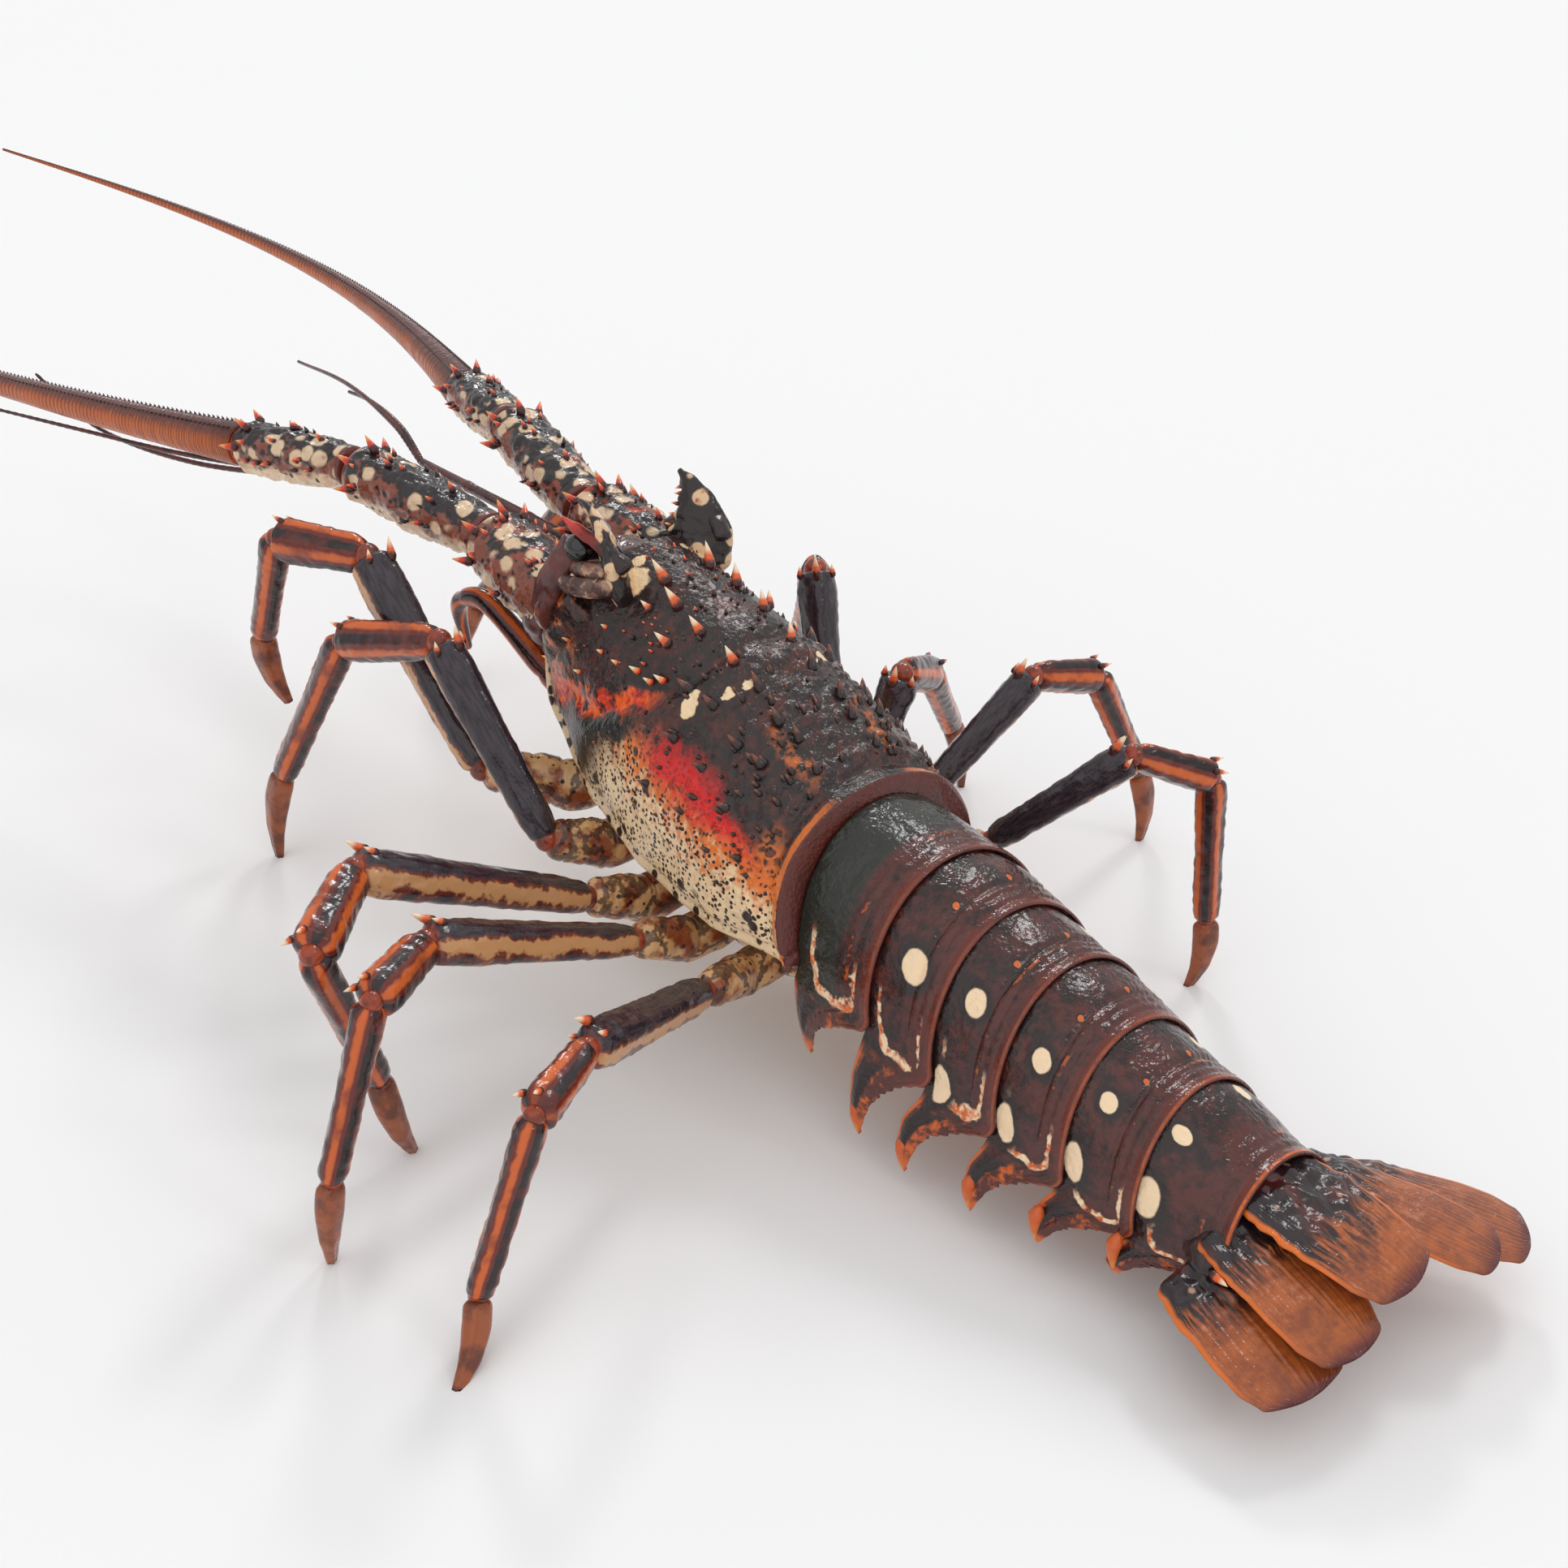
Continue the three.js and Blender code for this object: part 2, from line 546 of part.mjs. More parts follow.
sides.forEach(([side, word], s) => {
  addPiece(`horn_${word}`, horn(side), SHELL);
  addPiece(`eye_${word}`, cut(eye(side), [hornTools[s]]), EYE);
  for (const index of [0, 1, 2]) {
    const tools = index === 0 ? [swollenCore, eyeTools[s]] : [antennaSegment(side, index - 1, GAP)];
    addPiece(`antenna_${word}_segment_${index + 1}`, cut(antennaSegment(side, index), tools), SHELL);
  }
  const lastSegment = antennaSegment(side, 2, GAP);
  addPiece(`antenna_${word}_flagellum_near`, cut(flagellum(side, 0, FLAGELLUM_SPLIT, 8), [lastSegment]), FEELER);
  addPiece(`antenna_${word}_flagellum_far`, flagellum(side, FLAGELLUM_SPLIT + 0.0011, 1, 10), FEELER);
  addPiece(`antennule_${word}`, cut(antennule(side), [headPlate(GAP), ...baseTools]), FEELER);
  addPiece(`maxilliped_${word}`, cut(maxilliped(side), [swollenCore, ...legTools]), LEG);
  for (const pair of pairs) {
    const upper = cut(uppers[s][pair], [swollenCore]);
    const lower = cut(legPart(side, pair, 2, 4), [legPart(side, pair, 0, 1, GAP), floor]);
    addPiece(`leg_${word}_${pair + 1}_upper`, upper, LEG);
    addPiece(`leg_${word}_${pair + 1}_lower`, lower, LEG);
  }
});

const ringSolids = RING_EDGES.slice(1).map((_, index) => tailRing(index));
ringSolids.forEach((ring, index) => {
  const before = index ? [ringSolids[index - 1]] : [swollenCore];
  addPiece(`tail_ring_${index + 1}`, cut(ring, [...before, ...legTools]), TAIL_SHELL);
});

addPiece('telson', cut(telson(), [ringSolids[5]]), FAN);
sides.forEach(([side, word]) => {
  const base = uropodBase(side);
  addPiece(`uropod_${word}_base`, cut(base, [ringSolids[5], telson()]), TAIL_SHELL);
  addPiece(`uropod_${word}_inner`, cut(endopod(side), [base, telson(), ringSolids[5]]), FAN);
  addPiece(`uropod_${word}_outer`, cut(exopod(side), [base, endopod(side), ringSolids[5]]), FAN);
});

// The origin is the middle of the outline's foot, on the floor
const extent = new THREE.Box3().setFromObject(lobster);
const middle = extent.getCenter(new THREE.Vector3());
lobster.position.set(-middle.x, -middle.y, -extent.min.z);
lobster.updateMatrixWorld(true);

export default lobster;
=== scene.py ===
"""A life-size spiny lobster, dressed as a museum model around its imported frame.

Shapes are drawn in millimetres in the animal's own frame, head towards -Y and left side towards +X,
and are moved to the row's frame, in metres, as each piece is finished.
"""

import logging
import math
import random
from dataclasses import dataclass
from enum import Enum
from typing import Any, Callable, Optional, Sequence

import bmesh
import bpy
from mathutils import Matrix, Vector, noise


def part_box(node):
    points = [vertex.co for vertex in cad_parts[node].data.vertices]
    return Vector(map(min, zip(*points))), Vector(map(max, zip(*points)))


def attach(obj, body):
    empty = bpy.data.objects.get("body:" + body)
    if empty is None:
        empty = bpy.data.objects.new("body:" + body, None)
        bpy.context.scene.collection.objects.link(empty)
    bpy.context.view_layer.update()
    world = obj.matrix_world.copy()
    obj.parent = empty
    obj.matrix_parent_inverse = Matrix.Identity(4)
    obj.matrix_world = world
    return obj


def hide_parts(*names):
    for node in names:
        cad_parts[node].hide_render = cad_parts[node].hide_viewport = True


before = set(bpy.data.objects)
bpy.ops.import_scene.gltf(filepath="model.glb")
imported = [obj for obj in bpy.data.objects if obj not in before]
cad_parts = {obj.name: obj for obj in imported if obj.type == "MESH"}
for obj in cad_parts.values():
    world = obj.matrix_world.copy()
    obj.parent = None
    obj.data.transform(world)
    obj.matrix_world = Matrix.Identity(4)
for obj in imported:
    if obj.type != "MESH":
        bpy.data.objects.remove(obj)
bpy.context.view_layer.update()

log = logging.getLogger("lobster")

MM = 0.001
WELD = 0.002
UP = Vector((0.0, 0.0, 1.0))
ACROSS = Vector((1.0, 0.0, 0.0))
BODY = "root"

Colour = tuple[float, float, float]
Pairs = Sequence[tuple[float, float]]
Place = Callable[[float, float], Vector]
Relief = Callable[[float, float], float]
Point = tuple[float, float, float]
Station = tuple[Vector, float, float]


class Side(Enum):
    """The animal's own left and right."""

    LEFT = 1
    RIGHT = -1

    @property
    def word(self) -> str:
        """The side's name as the nodes write it."""
        return self.name.lower()

    def point(self, x: float, y: float, z: float) -> Vector:
        """A point on this side, from where it lies on the left."""
        return Vector((x * self.value, y, z))

    def stations(self, rows: Sequence[tuple[Point, float, float]]) -> list[Station]:
        """A run's stations on this side, from those on the left."""
        return [(self.point(*spot), wide, tall) for spot, wide, tall in rows]


def mix(first: Any, second: Any, share: float) -> Any:
    """The value that lies a share of the way from first to second."""
    return first + (second - first) * share


def clamp(value: float, low: float = 0.0, high: float = 1.0) -> float:
    """The value, kept between low and high."""
    return max(low, min(high, value))


def ease(low: float, high: float, value: float) -> float:
    """A soft step from 0 at low to 1 at high."""
    share = clamp((value - low) / (high - low))
    return share * share * (3.0 - 2.0 * share)


def bell(value: float, centre: float, width: float) -> float:
    """A soft bump of height 1 around centre."""
    return math.exp(-(((value - centre) / width) ** 2))


def along(pairs: Pairs, place: float) -> float:
    """The value at a place on a table of (place, value) pairs, eased between its points.

    Args:
        pairs: places in rising order, each with its value.
        place: where the value is wanted.

    Returns:
        The eased value, held flat past either end.
    """
    if place <= pairs[0][0]:
        return pairs[0][1]
    for (start, first), (end, second) in zip(pairs, pairs[1:]):
        if place <= end:
            share = (place - start) / (end - start)
            return mix(first, second, 0.5 * ease(0.0, 1.0, share) + 0.5 * share)
    return pairs[-1][1]


def ball(length: float, girth: float) -> Vector:
    """A point of a ball of radius 1, by the share from pole to pole and the share around."""
    rise, turn = math.pi * length, math.tau * (girth % 1.0)
    flat = math.sin(rise)
    return Vector((flat * math.cos(turn), flat * math.sin(turn), math.cos(rise)))


def put(name: str, data: Any) -> bpy.types.Object:
    """Makes an object of the data and puts it in the scene."""
    made = bpy.data.objects.new(name, data)
    bpy.context.scene.collection.objects.link(made)
    return made


def tint(red: int, green: int, blue: int) -> Colour:
    """A colour as it looks on screen, turned into the linear values that a shader takes."""

    def linear(value: int) -> float:
        """One channel, made linear."""
        share = value / 255.0
        return share / 12.92 if share <= 0.04045 else ((share + 0.055) / 1.055) ** 2.4

    return linear(red), linear(green), linear(blue)


class Wire:
    """A shader socket that takes part in sums as a number does, and adds a Math node for each."""

    def __init__(self, board: "Board", socket: bpy.types.NodeSocket) -> None:
        """Holds the socket and the board it is on."""
        self.board = board
        self.socket = socket

    def _sum(self, operation: str, *values: Any) -> "Wire":
        """The outcome of one Math node."""
        return self.board.node("ShaderNodeMath", {"operation": operation}, dict(enumerate(values)))

    def __add__(self, other: Any) -> "Wire":
        """Self plus other."""
        return self._sum("ADD", self, other)

    __radd__ = __add__

    def __sub__(self, other: Any) -> "Wire":
        """Self minus other."""
        return self._sum("SUBTRACT", self, other)

    def __rsub__(self, other: Any) -> "Wire":
        """Other minus self."""
        return self._sum("SUBTRACT", other, self)

    def __mul__(self, other: Any) -> "Wire":
        """Self times other."""
        return self._sum("MULTIPLY", self, other)

    __rmul__ = __mul__

    def __truediv__(self, other: Any) -> "Wire":
        """Self over other."""
        return self._sum("DIVIDE", self, other)

    def __pow__(self, other: Any) -> "Wire":
        """Self to a power."""
        return self._sum("POWER", self, other)

    def __abs__(self) -> "Wire":
        """Self without its sign."""
        return self._sum("ABSOLUTE", self)

    def most(self, other: Any) -> "Wire":
        """The larger of self and other."""
        return self._sum("MAXIMUM", self, other)

    def sine(self) -> "Wire":
        """The sine of self."""
        return self._sum("SINE", self)

    def cosine(self) -> "Wire":
        """The cosine of self."""
        return self._sum("COSINE", self)

    def step(self, low: float, high: float) -> "Wire":
        """A soft step: 0 at low and 1 at high, or the other way where low is above high."""
        settings = {"interpolation_type": "SMOOTHSTEP"}
        ends = {1: low, 2: high, 3: 0.0, 4: 1.0} if low < high else {1: high, 2: low, 3: 1.0, 4: 0.0}
        return self.board.node("ShaderNodeMapRange", settings, {0: self, **ends})

    def near(self, centre: Any, reach: float, soft: float = 0.4) -> "Wire":
        """1 within reach of centre, fading to 0 over the outer part of the reach."""
        return abs(self - centre).step(reach, reach * (1.0 - soft))


class Board:
    """The node tree of one material."""

    CLOUD_ROUGHNESS = 0.55
    COAT_ROUGHNESS = 0.1

    def __init__(self, name: str) -> None:
        """Starts a material with nothing but its output."""
        self.material = bpy.data.materials.new(name)
        self.material.use_nodes = True
        self.tree = self.material.node_tree
        self.tree.nodes.clear()
        self.place = self.node("ShaderNodeTexCoord", {}, {}, "Object")
        self.skin = self.node("ShaderNodeUVMap", {"uv_map": "skin"}, {})
        self.length = self.node("ShaderNodeSeparateXYZ", {}, {0: self.skin}, "X")
        self.girth = self.node("ShaderNodeSeparateXYZ", {}, {0: self.skin}, "Y")

    @property
    def turn(self) -> Wire:
        """The girth as an angle."""
        return self.girth * math.tau

    @property
    def away(self) -> Wire:
        """How far round the girth lies from its middle, from 0 to 0.5."""
        return abs(self.girth - 0.5)

    def node(self, kind: str, settings: dict[str, Any], inputs: dict[Any, Any], output: Any = 0) -> Wire:
        """Adds a node.

        Args:
            kind: the node's type.
            settings: its own settings, set before its sockets.
            inputs: a value or a wire for each socket, by name or number.
            output: the socket that is wanted of it.

        Returns:
            That output, as a wire.
        """
        made = self.tree.nodes.new(kind)
        for name, value in settings.items():
            setattr(made, name, value)
        for name, value in inputs.items():
            if isinstance(value, Wire):
                self.tree.links.new(value.socket, made.inputs[name])
            elif isinstance(value, tuple) and len(value) == 3 and made.inputs[name].type == "RGBA":
                made.inputs[name].default_value = (*value, 1.0)
            else:
                made.inputs[name].default_value = value
        return Wire(self, made.outputs[output])

    def blend(self, under: Any, over: Any, mask: Any) -> Wire:
        """One colour over another, by a mask."""
        settings = {"data_type": "RGBA", "clamp_factor": True}
        return self.node("ShaderNodeMix", settings, {0: mask, 6: under, 7: over}, 2)

    def paint(self, under: Any, layers: Sequence[tuple[Any, Any]]) -> Wire:
        """Colours over one another, each by its own mask, the last on top."""
        for over, mask in layers:
            under = self.blend(under, over, mask)
        return under

    def flow(self, lengthwise: float, around: float) -> Wire:
        """The piece's own map, scaled so that a pattern follows its length and girth."""
        return self.node("ShaderNodeMapping", {}, {0: self.skin, 3: Vector((lengthwise, around, 1.0))})

    def cloud(self, scale: float, detail: float = 3.0, at: Optional[Wire] = None) -> Wire:
        """A cloudy pattern from 0 to 1, at a scale per metre."""
        inputs = {"Vector": at or self.place, "Scale": scale, "Detail": detail}
        return self.node("ShaderNodeTexNoise", {}, {**inputs, "Roughness": self.CLOUD_ROUGHNESS})

    def drift(self, scale: float, detail: float = 3.0) -> Wire:
        """A cloudy pattern around 0, that breaks edges up."""
        return self.cloud(scale, detail) - 0.5

    def cells(self, scale: float, feature: str = "F1") -> Wire:
        """The distance to the nearest of many scattered points, or to the edges between them."""
        inputs = {"Vector": self.place, "Scale": scale}
        return self.node("ShaderNodeTexVoronoi", {"feature": feature}, inputs)

    def finish(self, colour: Any, rough: Any, height: Any, depth: float, coat: float, gloss: float) -> None:
        """Joins the shader to the material's output.

        Args:
            colour: the base colour.
            rough: the roughness.
            height: the relief for the bump, about 0 to 1.
            depth: how deep that relief is, in metres.
            coat: the weight of the clear wet coat.
            gloss: the specular level.
        """
        normal = self.node("ShaderNodeBump", {}, {"Strength": 1.0, "Distance": depth, "Height": height})
        inputs = {
            "Base Color": colour,
            "Roughness": rough,
            "Normal": normal,
            "Coat Weight": coat,
            "Coat Roughness": self.COAT_ROUGHNESS,
            "Specular IOR Level": gloss,
        }
        shader = self.node("ShaderNodeBsdfPrincipled", {}, inputs)
        output = self.tree.nodes.new("ShaderNodeOutputMaterial")
        self.tree.links.new(shader.socket, output.inputs["Surface"])


@dataclass(frozen=True)
class Finish:
    """How one kind of shell is coloured, and how wet and how rough it looks."""

    name: str
    rough: float = 0.2
    coat: float = 0.25
    depth: float = 0.00022
    grain: float = 800.0
    gloss: float = 0.4

    def colour(self, board: Board) -> Any:
        """The base colour over the piece."""
        raise NotImplementedError

    def height(self, board: Board) -> Any:
        """The fine relief: a leathery grain."""
        return board.cloud(self.grain, 1.0) * 0.7 + board.cells(self.grain * 1.4) * 0.3

    def material(self) -> bpy.types.Material:
        """The finished material."""
        found = bpy.data.materials.get(self.name)
        if found:
            return found
        board = Board(self.name)
        rough = board.drift(160.0, 2.0) * 0.25 + self.rough
        board.finish(self.colour(board), rough, self.height(board), self.depth, self.coat, self.gloss)
        return board.material


@dataclass(frozen=True)
class ThornFinish(Finish):
    """A spine: dark or red at its root, then orange, with a pale tip."""

    root: Colour = tint(110, 34, 24)
    middle: Colour = tint(226, 96, 40)
    tip: Colour = tint(248, 220, 184)
    grain: float = 1200.0
    depth: float = 0.0001

    def colour(self, board: Board) -> Wire:
        """Root, middle and tip along the spine."""
        place = board.length + board.drift(420.0, 2.0) * 0.25
        lower = board.blend(self.root, self.middle, place.step(0.34, 0.52))
        return board.blend(lower, self.tip, place.step(0.56, 0.8))


@dataclass(frozen=True)
class CarapaceFinish(Finish):
    """The back's shell: near black above, marbled orange, red and cream down its sides."""

    black: Colour = tint(40, 28, 28)
    brown: Colour = tint(84, 38, 30)
    cream: Colour = tint(250, 220, 176)
    orange: Colour = tint(230, 120, 42)
    flame: Colour = tint(252, 108, 16)
    red: Colour = tint(214, 36, 8)
    crimson: Colour = tint(222, 24, 22)
    green: Colour = tint(32, 34, 28)
    rim: Colour = tint(96, 38, 30)
    dot: Colour = tint(44, 22, 20)
    depth: float = 0.00045
    rough: float = 0.3
    patches: tuple[Point, ...] = (
        (0.12, 0.45, 5.0), (0.53, 0.68, 3.6), (0.6, 0.27, 1.6), (0.59, 0.42, 1.6), (0.08, 0.3, 2.4))

    def colour(self, board: Board) -> Wire:
        """Zones by length and girth, with their edges broken up."""
        length, angle = board.length, board.away * math.tau
        wander, fine = board.drift(130.0, 4.0), board.drift(420.0)
        both = fine + wander
        share = length + wander * 0.06
        turn = angle + wander * 0.3 + fine * 0.12
        back = board.blend(self.black, self.brown, both.step(-0.12, 0.32))
        early = share + (turn - 1.1) * 0.16
        sunk = turn + length.near(0.65, 0.25, 0.9) * 0.16
        flank = sunk.step(0.96, 1.2) * early.step(0.33, 0.45)
        warm = board.blend(self.orange, self.cream, (turn + fine * 0.8).step(1.2, 1.56))
        glow = length.near(0.66, 0.3, 0.6) * turn.near(1.0, 0.28, 0.6)
        warm = board.blend(warm, self.crimson, glow)
        dots = (board.cells(720.0) + fine * 0.3).step(0.44, 0.3)
        big = (board.cells(240.0) + fine * 0.25).step(0.36, 0.26) * turn.step(1.55, 1.8)
        knots = (board.cells(115.0) + fine * 0.1).step(0.22, 0.15)
        warm = board.blend(warm, self.dot, dots.most(big).most(knots) * (1.0 - glow * 0.6))
        veins = (board.cells(380.0, "DISTANCE_TO_EDGE") + fine * 0.1).step(0.2, 0.05)
        net = turn.near(1.15, 0.42, 0.7) * length.near(0.9, 0.045, 0.7)
        front = share.step(0.16, 0.04) * turn.step(1.1, 1.4)
        groove = turn - (1.92 - share * 2.5)
        hollow = groove.near(0.22, 0.14, 0.5) * length.near(0.3, 0.14, 0.5)
        flames = board.blend(self.red, self.flame, fine.step(-0.1, 0.15))
        band = groove.near(0.0, 0.12, 0.6) * length.near(0.24, 0.2, 0.4) * both.step(-0.25, 0.0)
        layers = [
            (warm, flank),
            (self.orange, veins * net * 0.8),
            (self.orange, front * both.step(-0.1, 0.15)),
            (self.green, hollow),
            (flames, band),
        ]
        for place, lean, size in self.patches:
            ahead, aside = (length - place) * 130.0, (angle - lean) * 30.0
            away = (ahead * ahead + aside * aside) ** 0.5 + fine * 3.0 + wander * 2.0
            layers.append((self.cream, away.step(size, size * 0.8)))
        streak = turn.near(0.34, 0.11, 0.8) * share.near(0.8, 0.12, 0.6)
        rear = (length + fine * 0.008).near(0.952, 0.013, 0.5)
        rim = board.blend(self.rim, self.brown, both.step(-0.1, 0.2))
        layers += [
            (self.orange, streak * fine.step(-0.1, 0.1) * 0.6),
            (board.blend(self.cream, self.dot, big), turn.near(1.98, 0.1, 0.4)),
            (self.cream, turn.step(2.08, 2.2)),
            (rim, (length + fine * 0.004).step(0.961, 0.967)),
            # The flat face that closes the shell at its rear is painted black: painted shade in the gap
            # before the first tail ring.
            (self.black, length.step(0.988, 0.994)),
            (self.orange, rear * turn.step(0.2, 0.6) * 0.8),
        ]
        return board.paint(back, layers)


@dataclass(frozen=True)
class RingFinish(Finish):
    """One ring of the tail: dark maroon, pitted, with an orange line at its rear and cream eyespots.

    Each spot is a share of the length, a share of the way down and a size; none is drawn where the
    share down is above 1.
    """

    spot: Point = (0.5, 0.3, 0.15)
    drop: Point = (0.5, 2.0, 0.1)
    small: Point = (0.6, 0.13, 0.06)
    first: bool = False
    edging: float = 0.4
    black: Colour = tint(38, 26, 26)
    maroon: Colour = tint(86, 40, 34)
    green: Colour = tint(42, 44, 38)
    cream: Colour = tint(248, 218, 180)
    orange: Colour = tint(214, 100, 32)
    rim: Colour = tint(104, 42, 30)
    depth: float = 0.00026
    grain: float = 900.0

    def colour(self, board: Board) -> Wire:
        """Bands across the ring, the spots and the striped root of the side plate."""
        length, out = board.length, board.away * 2.0
        wander, fine = board.drift(110.0, 4.0), board.drift(480.0)
        both = wander + fine
        dusk = wander * 1.2 + fine - length * 0.3
        base = board.blend(self.maroon, self.black, dusk.step(-0.4, 0.12))
        if self.first:
            base = board.blend(base, self.green, (length + wander * 0.12).step(0.62, 0.52))
        across, down = (length - 0.5) / 0.3, (out - 0.46) / 0.18
        loop = across * across * across * across + down * down * down * down
        ragged = (loop + fine * 0.9 + wander * 1.6).near(1.0, 0.42, 0.5)
        stripe = ragged * out.step(0.44, 0.5) * both.step(-0.26, -0.06)
        plate = (out + wander * 0.06).step(0.66, 0.72)
        back = 1.0 - plate
        mottle = board.blend(self.maroon, self.orange, (wander * 1.4 + fine).step(0.0, 0.3))
        dark = (length + fine * 0.1).near(0.36, 0.26, 0.4) * (out + fine * 0.05).step(0.93, 0.88)
        layers = [
            (board.blend(self.orange, self.cream, fine.step(-0.12, 0.1)), stripe),
            (mottle, plate),
            (self.black, plate * dark),
            (self.orange, plate * length.near(0.0, 0.09, 0.5)),
            (self.orange, (out + fine * 0.04).step(0.88, 0.94)),
        ]
        spots = ((self.spot, 3.2, self.cream), (self.drop, 2.0, self.cream), (self.small, 3.0, self.orange))
        for (place, lean, size), stretch, fill in spots:
            if lean > 1.0:
                continue
            wide, tall = length - place, (out - lean) * stretch
            away = (wide * wide + tall * tall) ** 0.5 + fine * 0.03
            layers.append((self.black, away.step(size * 1.9, size * 1.1)))
            layers.append((fill, away.step(size, size * 0.84)))
        rim = board.blend(self.rim, self.maroon, both.step(-0.1, 0.2))
        marks = length.near(0.69, 0.03, 0.6) * both.step(0.06, 0.2) * back
        line = length.near(0.97, 0.022, 0.5) * (out + self.edging).step(0.3, 0.6) * back
        layers += [
            (rim, (length + fine * 0.03).step(0.84, 0.9) * back),
            (self.orange, marks * 0.6),
            (self.orange, line * (fine * 2.0 + 0.7) * self.edging),
        ]
        return board.paint(base, layers)


@dataclass(frozen=True)
class LegFinish(Finish):
    """A leg's upper shell: purple black, with a tan scalloped line underneath."""

    top: Colour = tint(62, 50, 58)
    dark: Colour = tint(34, 28, 34)
    under: Colour = tint(198, 146, 98)
    rust: Colour = tint(112, 50, 36)
    knee: Colour = tint(168, 66, 36)
    depth: float = 0.00016

    def colour(self, board: Board) -> Wire:
        """Dark above and pale along the underside, red at the knee."""
        streaks = board.cloud(5.0, 3.0, board.flow(3.0, 9.0))
        wander, fine = board.drift(120.0), board.drift(500.0)
        low = board.turn.cosine() + fine * 0.5 + wander * 0.9
        knee = (board.length + fine * 0.12).step(0.93, 0.99)
        root = (board.length + fine * 0.1).step(0.08, 0.02)
        shell = board.blend(self.dark, self.top, streaks.step(0.35, 0.65))
        return board.paint(shell, [
            (self.rust, low.near(0.62, 0.46, 0.3)),
            (self.under, low.near(0.62, 0.32, 0.4)),
            (self.knee, knee.most(root)),
        ])


@dataclass(frozen=True)
class StripedFinish(Finish):
    """A leg's lower shell, striped lengthwise in orange, dark red and black."""

    orange: Colour = tint(206, 96, 34)
    red: Colour = tint(104, 36, 26)
    black: Colour = tint(36, 24, 26)
    depth: float = 0.00014

    def colour(self, board: Board) -> Wire:
        """Stripes that follow the leg, their edges wavering."""
        fine = board.drift(360.0)
        around = board.girth + fine * 0.05
        stripes = (around * (math.tau * 4.0)).sine()
        shell = board.blend(self.red, self.orange, (stripes + fine * 0.5).step(0.25, 0.95))
        shell = board.blend(shell, self.black, stripes.step(-0.35, -0.7))
        shell = board.blend(shell, self.red, board.cloud(90.0, 3.0).step(0.52, 0.68) * 0.7)
        ends = (board.length + fine * 0.05).near(0.5, 0.5, 0.12)
        return board.blend(self.red, shell, ends)


@dataclass(frozen=True)
class PlainFinish(Finish):
    """A shell of one colour with a second one clouded through it."""

    first: Colour = tint(150, 75, 40)
    second: Colour = tint(90, 40, 30)
    tip: Colour = tint(60, 26, 20)
    scale: float = 180.0

    def colour(self, board: Board) -> Wire:
        """Two clouded colours, darker at the tip."""
        cloud = board.cloud(self.scale, 4.0)
        shell = board.blend(self.first, self.second, cloud.step(0.38, 0.66))
        return board.blend(shell, self.tip, (board.length + cloud * 0.1).step(0.86, 1.0))


@dataclass(frozen=True)
class MarbledFinish(Finish):
    """Cream shell with orange clouds and dark dots, as on the folds of the head and the coxae."""

    cream: Colour = tint(236, 208, 170)
    orange: Colour = tint(224, 110, 44)
    dark: Colour = tint(52, 32, 32)
    cream_share: float = 0.5
    dark_share: float = 0.3

    def colour(self, board: Board) -> Wire:
        """Clouds of orange on cream, then dots and veins."""
        cloud = board.cloud(150.0, 4.0)
        fine = board.drift(420.0)
        spread = self.cream_share * 0.3
        shell = board.blend(self.orange, self.cream, cloud.step(0.62 - spread, 0.78 - spread))
        dots = (board.cells(330.0) + fine * 0.3).step(self.dark_share + 0.06, self.dark_share - 0.06)
        veins = board.cloud(90.0, 5.0).near(0.5, 0.05, 0.5)
        return board.blend(shell, self.dark, dots.most(veins * 0.8))


@dataclass(frozen=True)
class HornFinish(Finish):
    """The horns: near black, with large cream ovals below and a rusty point."""

    black: Colour = tint(38, 28, 28)
    cream: Colour = tint(226, 190, 150)
    rust: Colour = tint(170, 80, 40)

    def colour(self, board: Board) -> Wire:
        """Ovals on black, fewer towards the point."""
        fine = board.drift(420.0)
        ovals = (board.cells(190.0) + fine * 0.12 + board.length * 0.16).step(0.56, 0.46)
        shell = board.blend(self.black, board.blend(self.cream, self.rust, fine.step(0.05, 0.25)), ovals)
        return board.blend(shell, self.rust, (board.length + fine * 0.1).step(0.93, 1.0))


@dataclass(frozen=True)
class AntennaFinish(Finish):
    """A segment of the great antennae: black above, orange and cream blotches, dotted cream below."""

    black: Colour = tint(40, 32, 34)
    tan: Colour = tint(132, 72, 54)
    cream: Colour = tint(232, 202, 166)
    red: Colour = tint(200, 60, 26)
    cuff: Colour = tint(104, 52, 46)
    ruddy: float = 0.3
    depth: float = 0.00026

    def colour(self, board: Board) -> Wire:
        """Dark above, pale below, with red edges and a smooth dark cuff."""
        wander, fine = board.drift(130.0, 4.0), board.drift(460.0)
        low = board.turn.cosine() + wander * 0.9
        warm = board.blend(self.tan, self.cream, (low + fine).step(0.1, 0.7))
        dark = (low + fine * 0.9 + wander * 2.0 + self.ruddy).step(-0.25, -0.5)
        blotch = (board.cells(150.0) + fine * 0.2).step(0.42, 0.3)
        return board.paint(warm, [
            (self.red, (wander + fine).step(0.1, 0.3) * self.ruddy * 2.0),
            (self.black, (board.cells(360.0) + fine * 0.3).step(0.36, 0.22)),
            (self.black, dark),
            (board.blend(self.tan, self.cream, fine.step(-0.3, -0.08)), blotch * 0.9),
            (self.red, (board.length + fine * 0.05).near(0.93, 0.06, 0.5) * 0.8),
            (self.cuff, board.length.step(0.13, 0.1)),
        ])


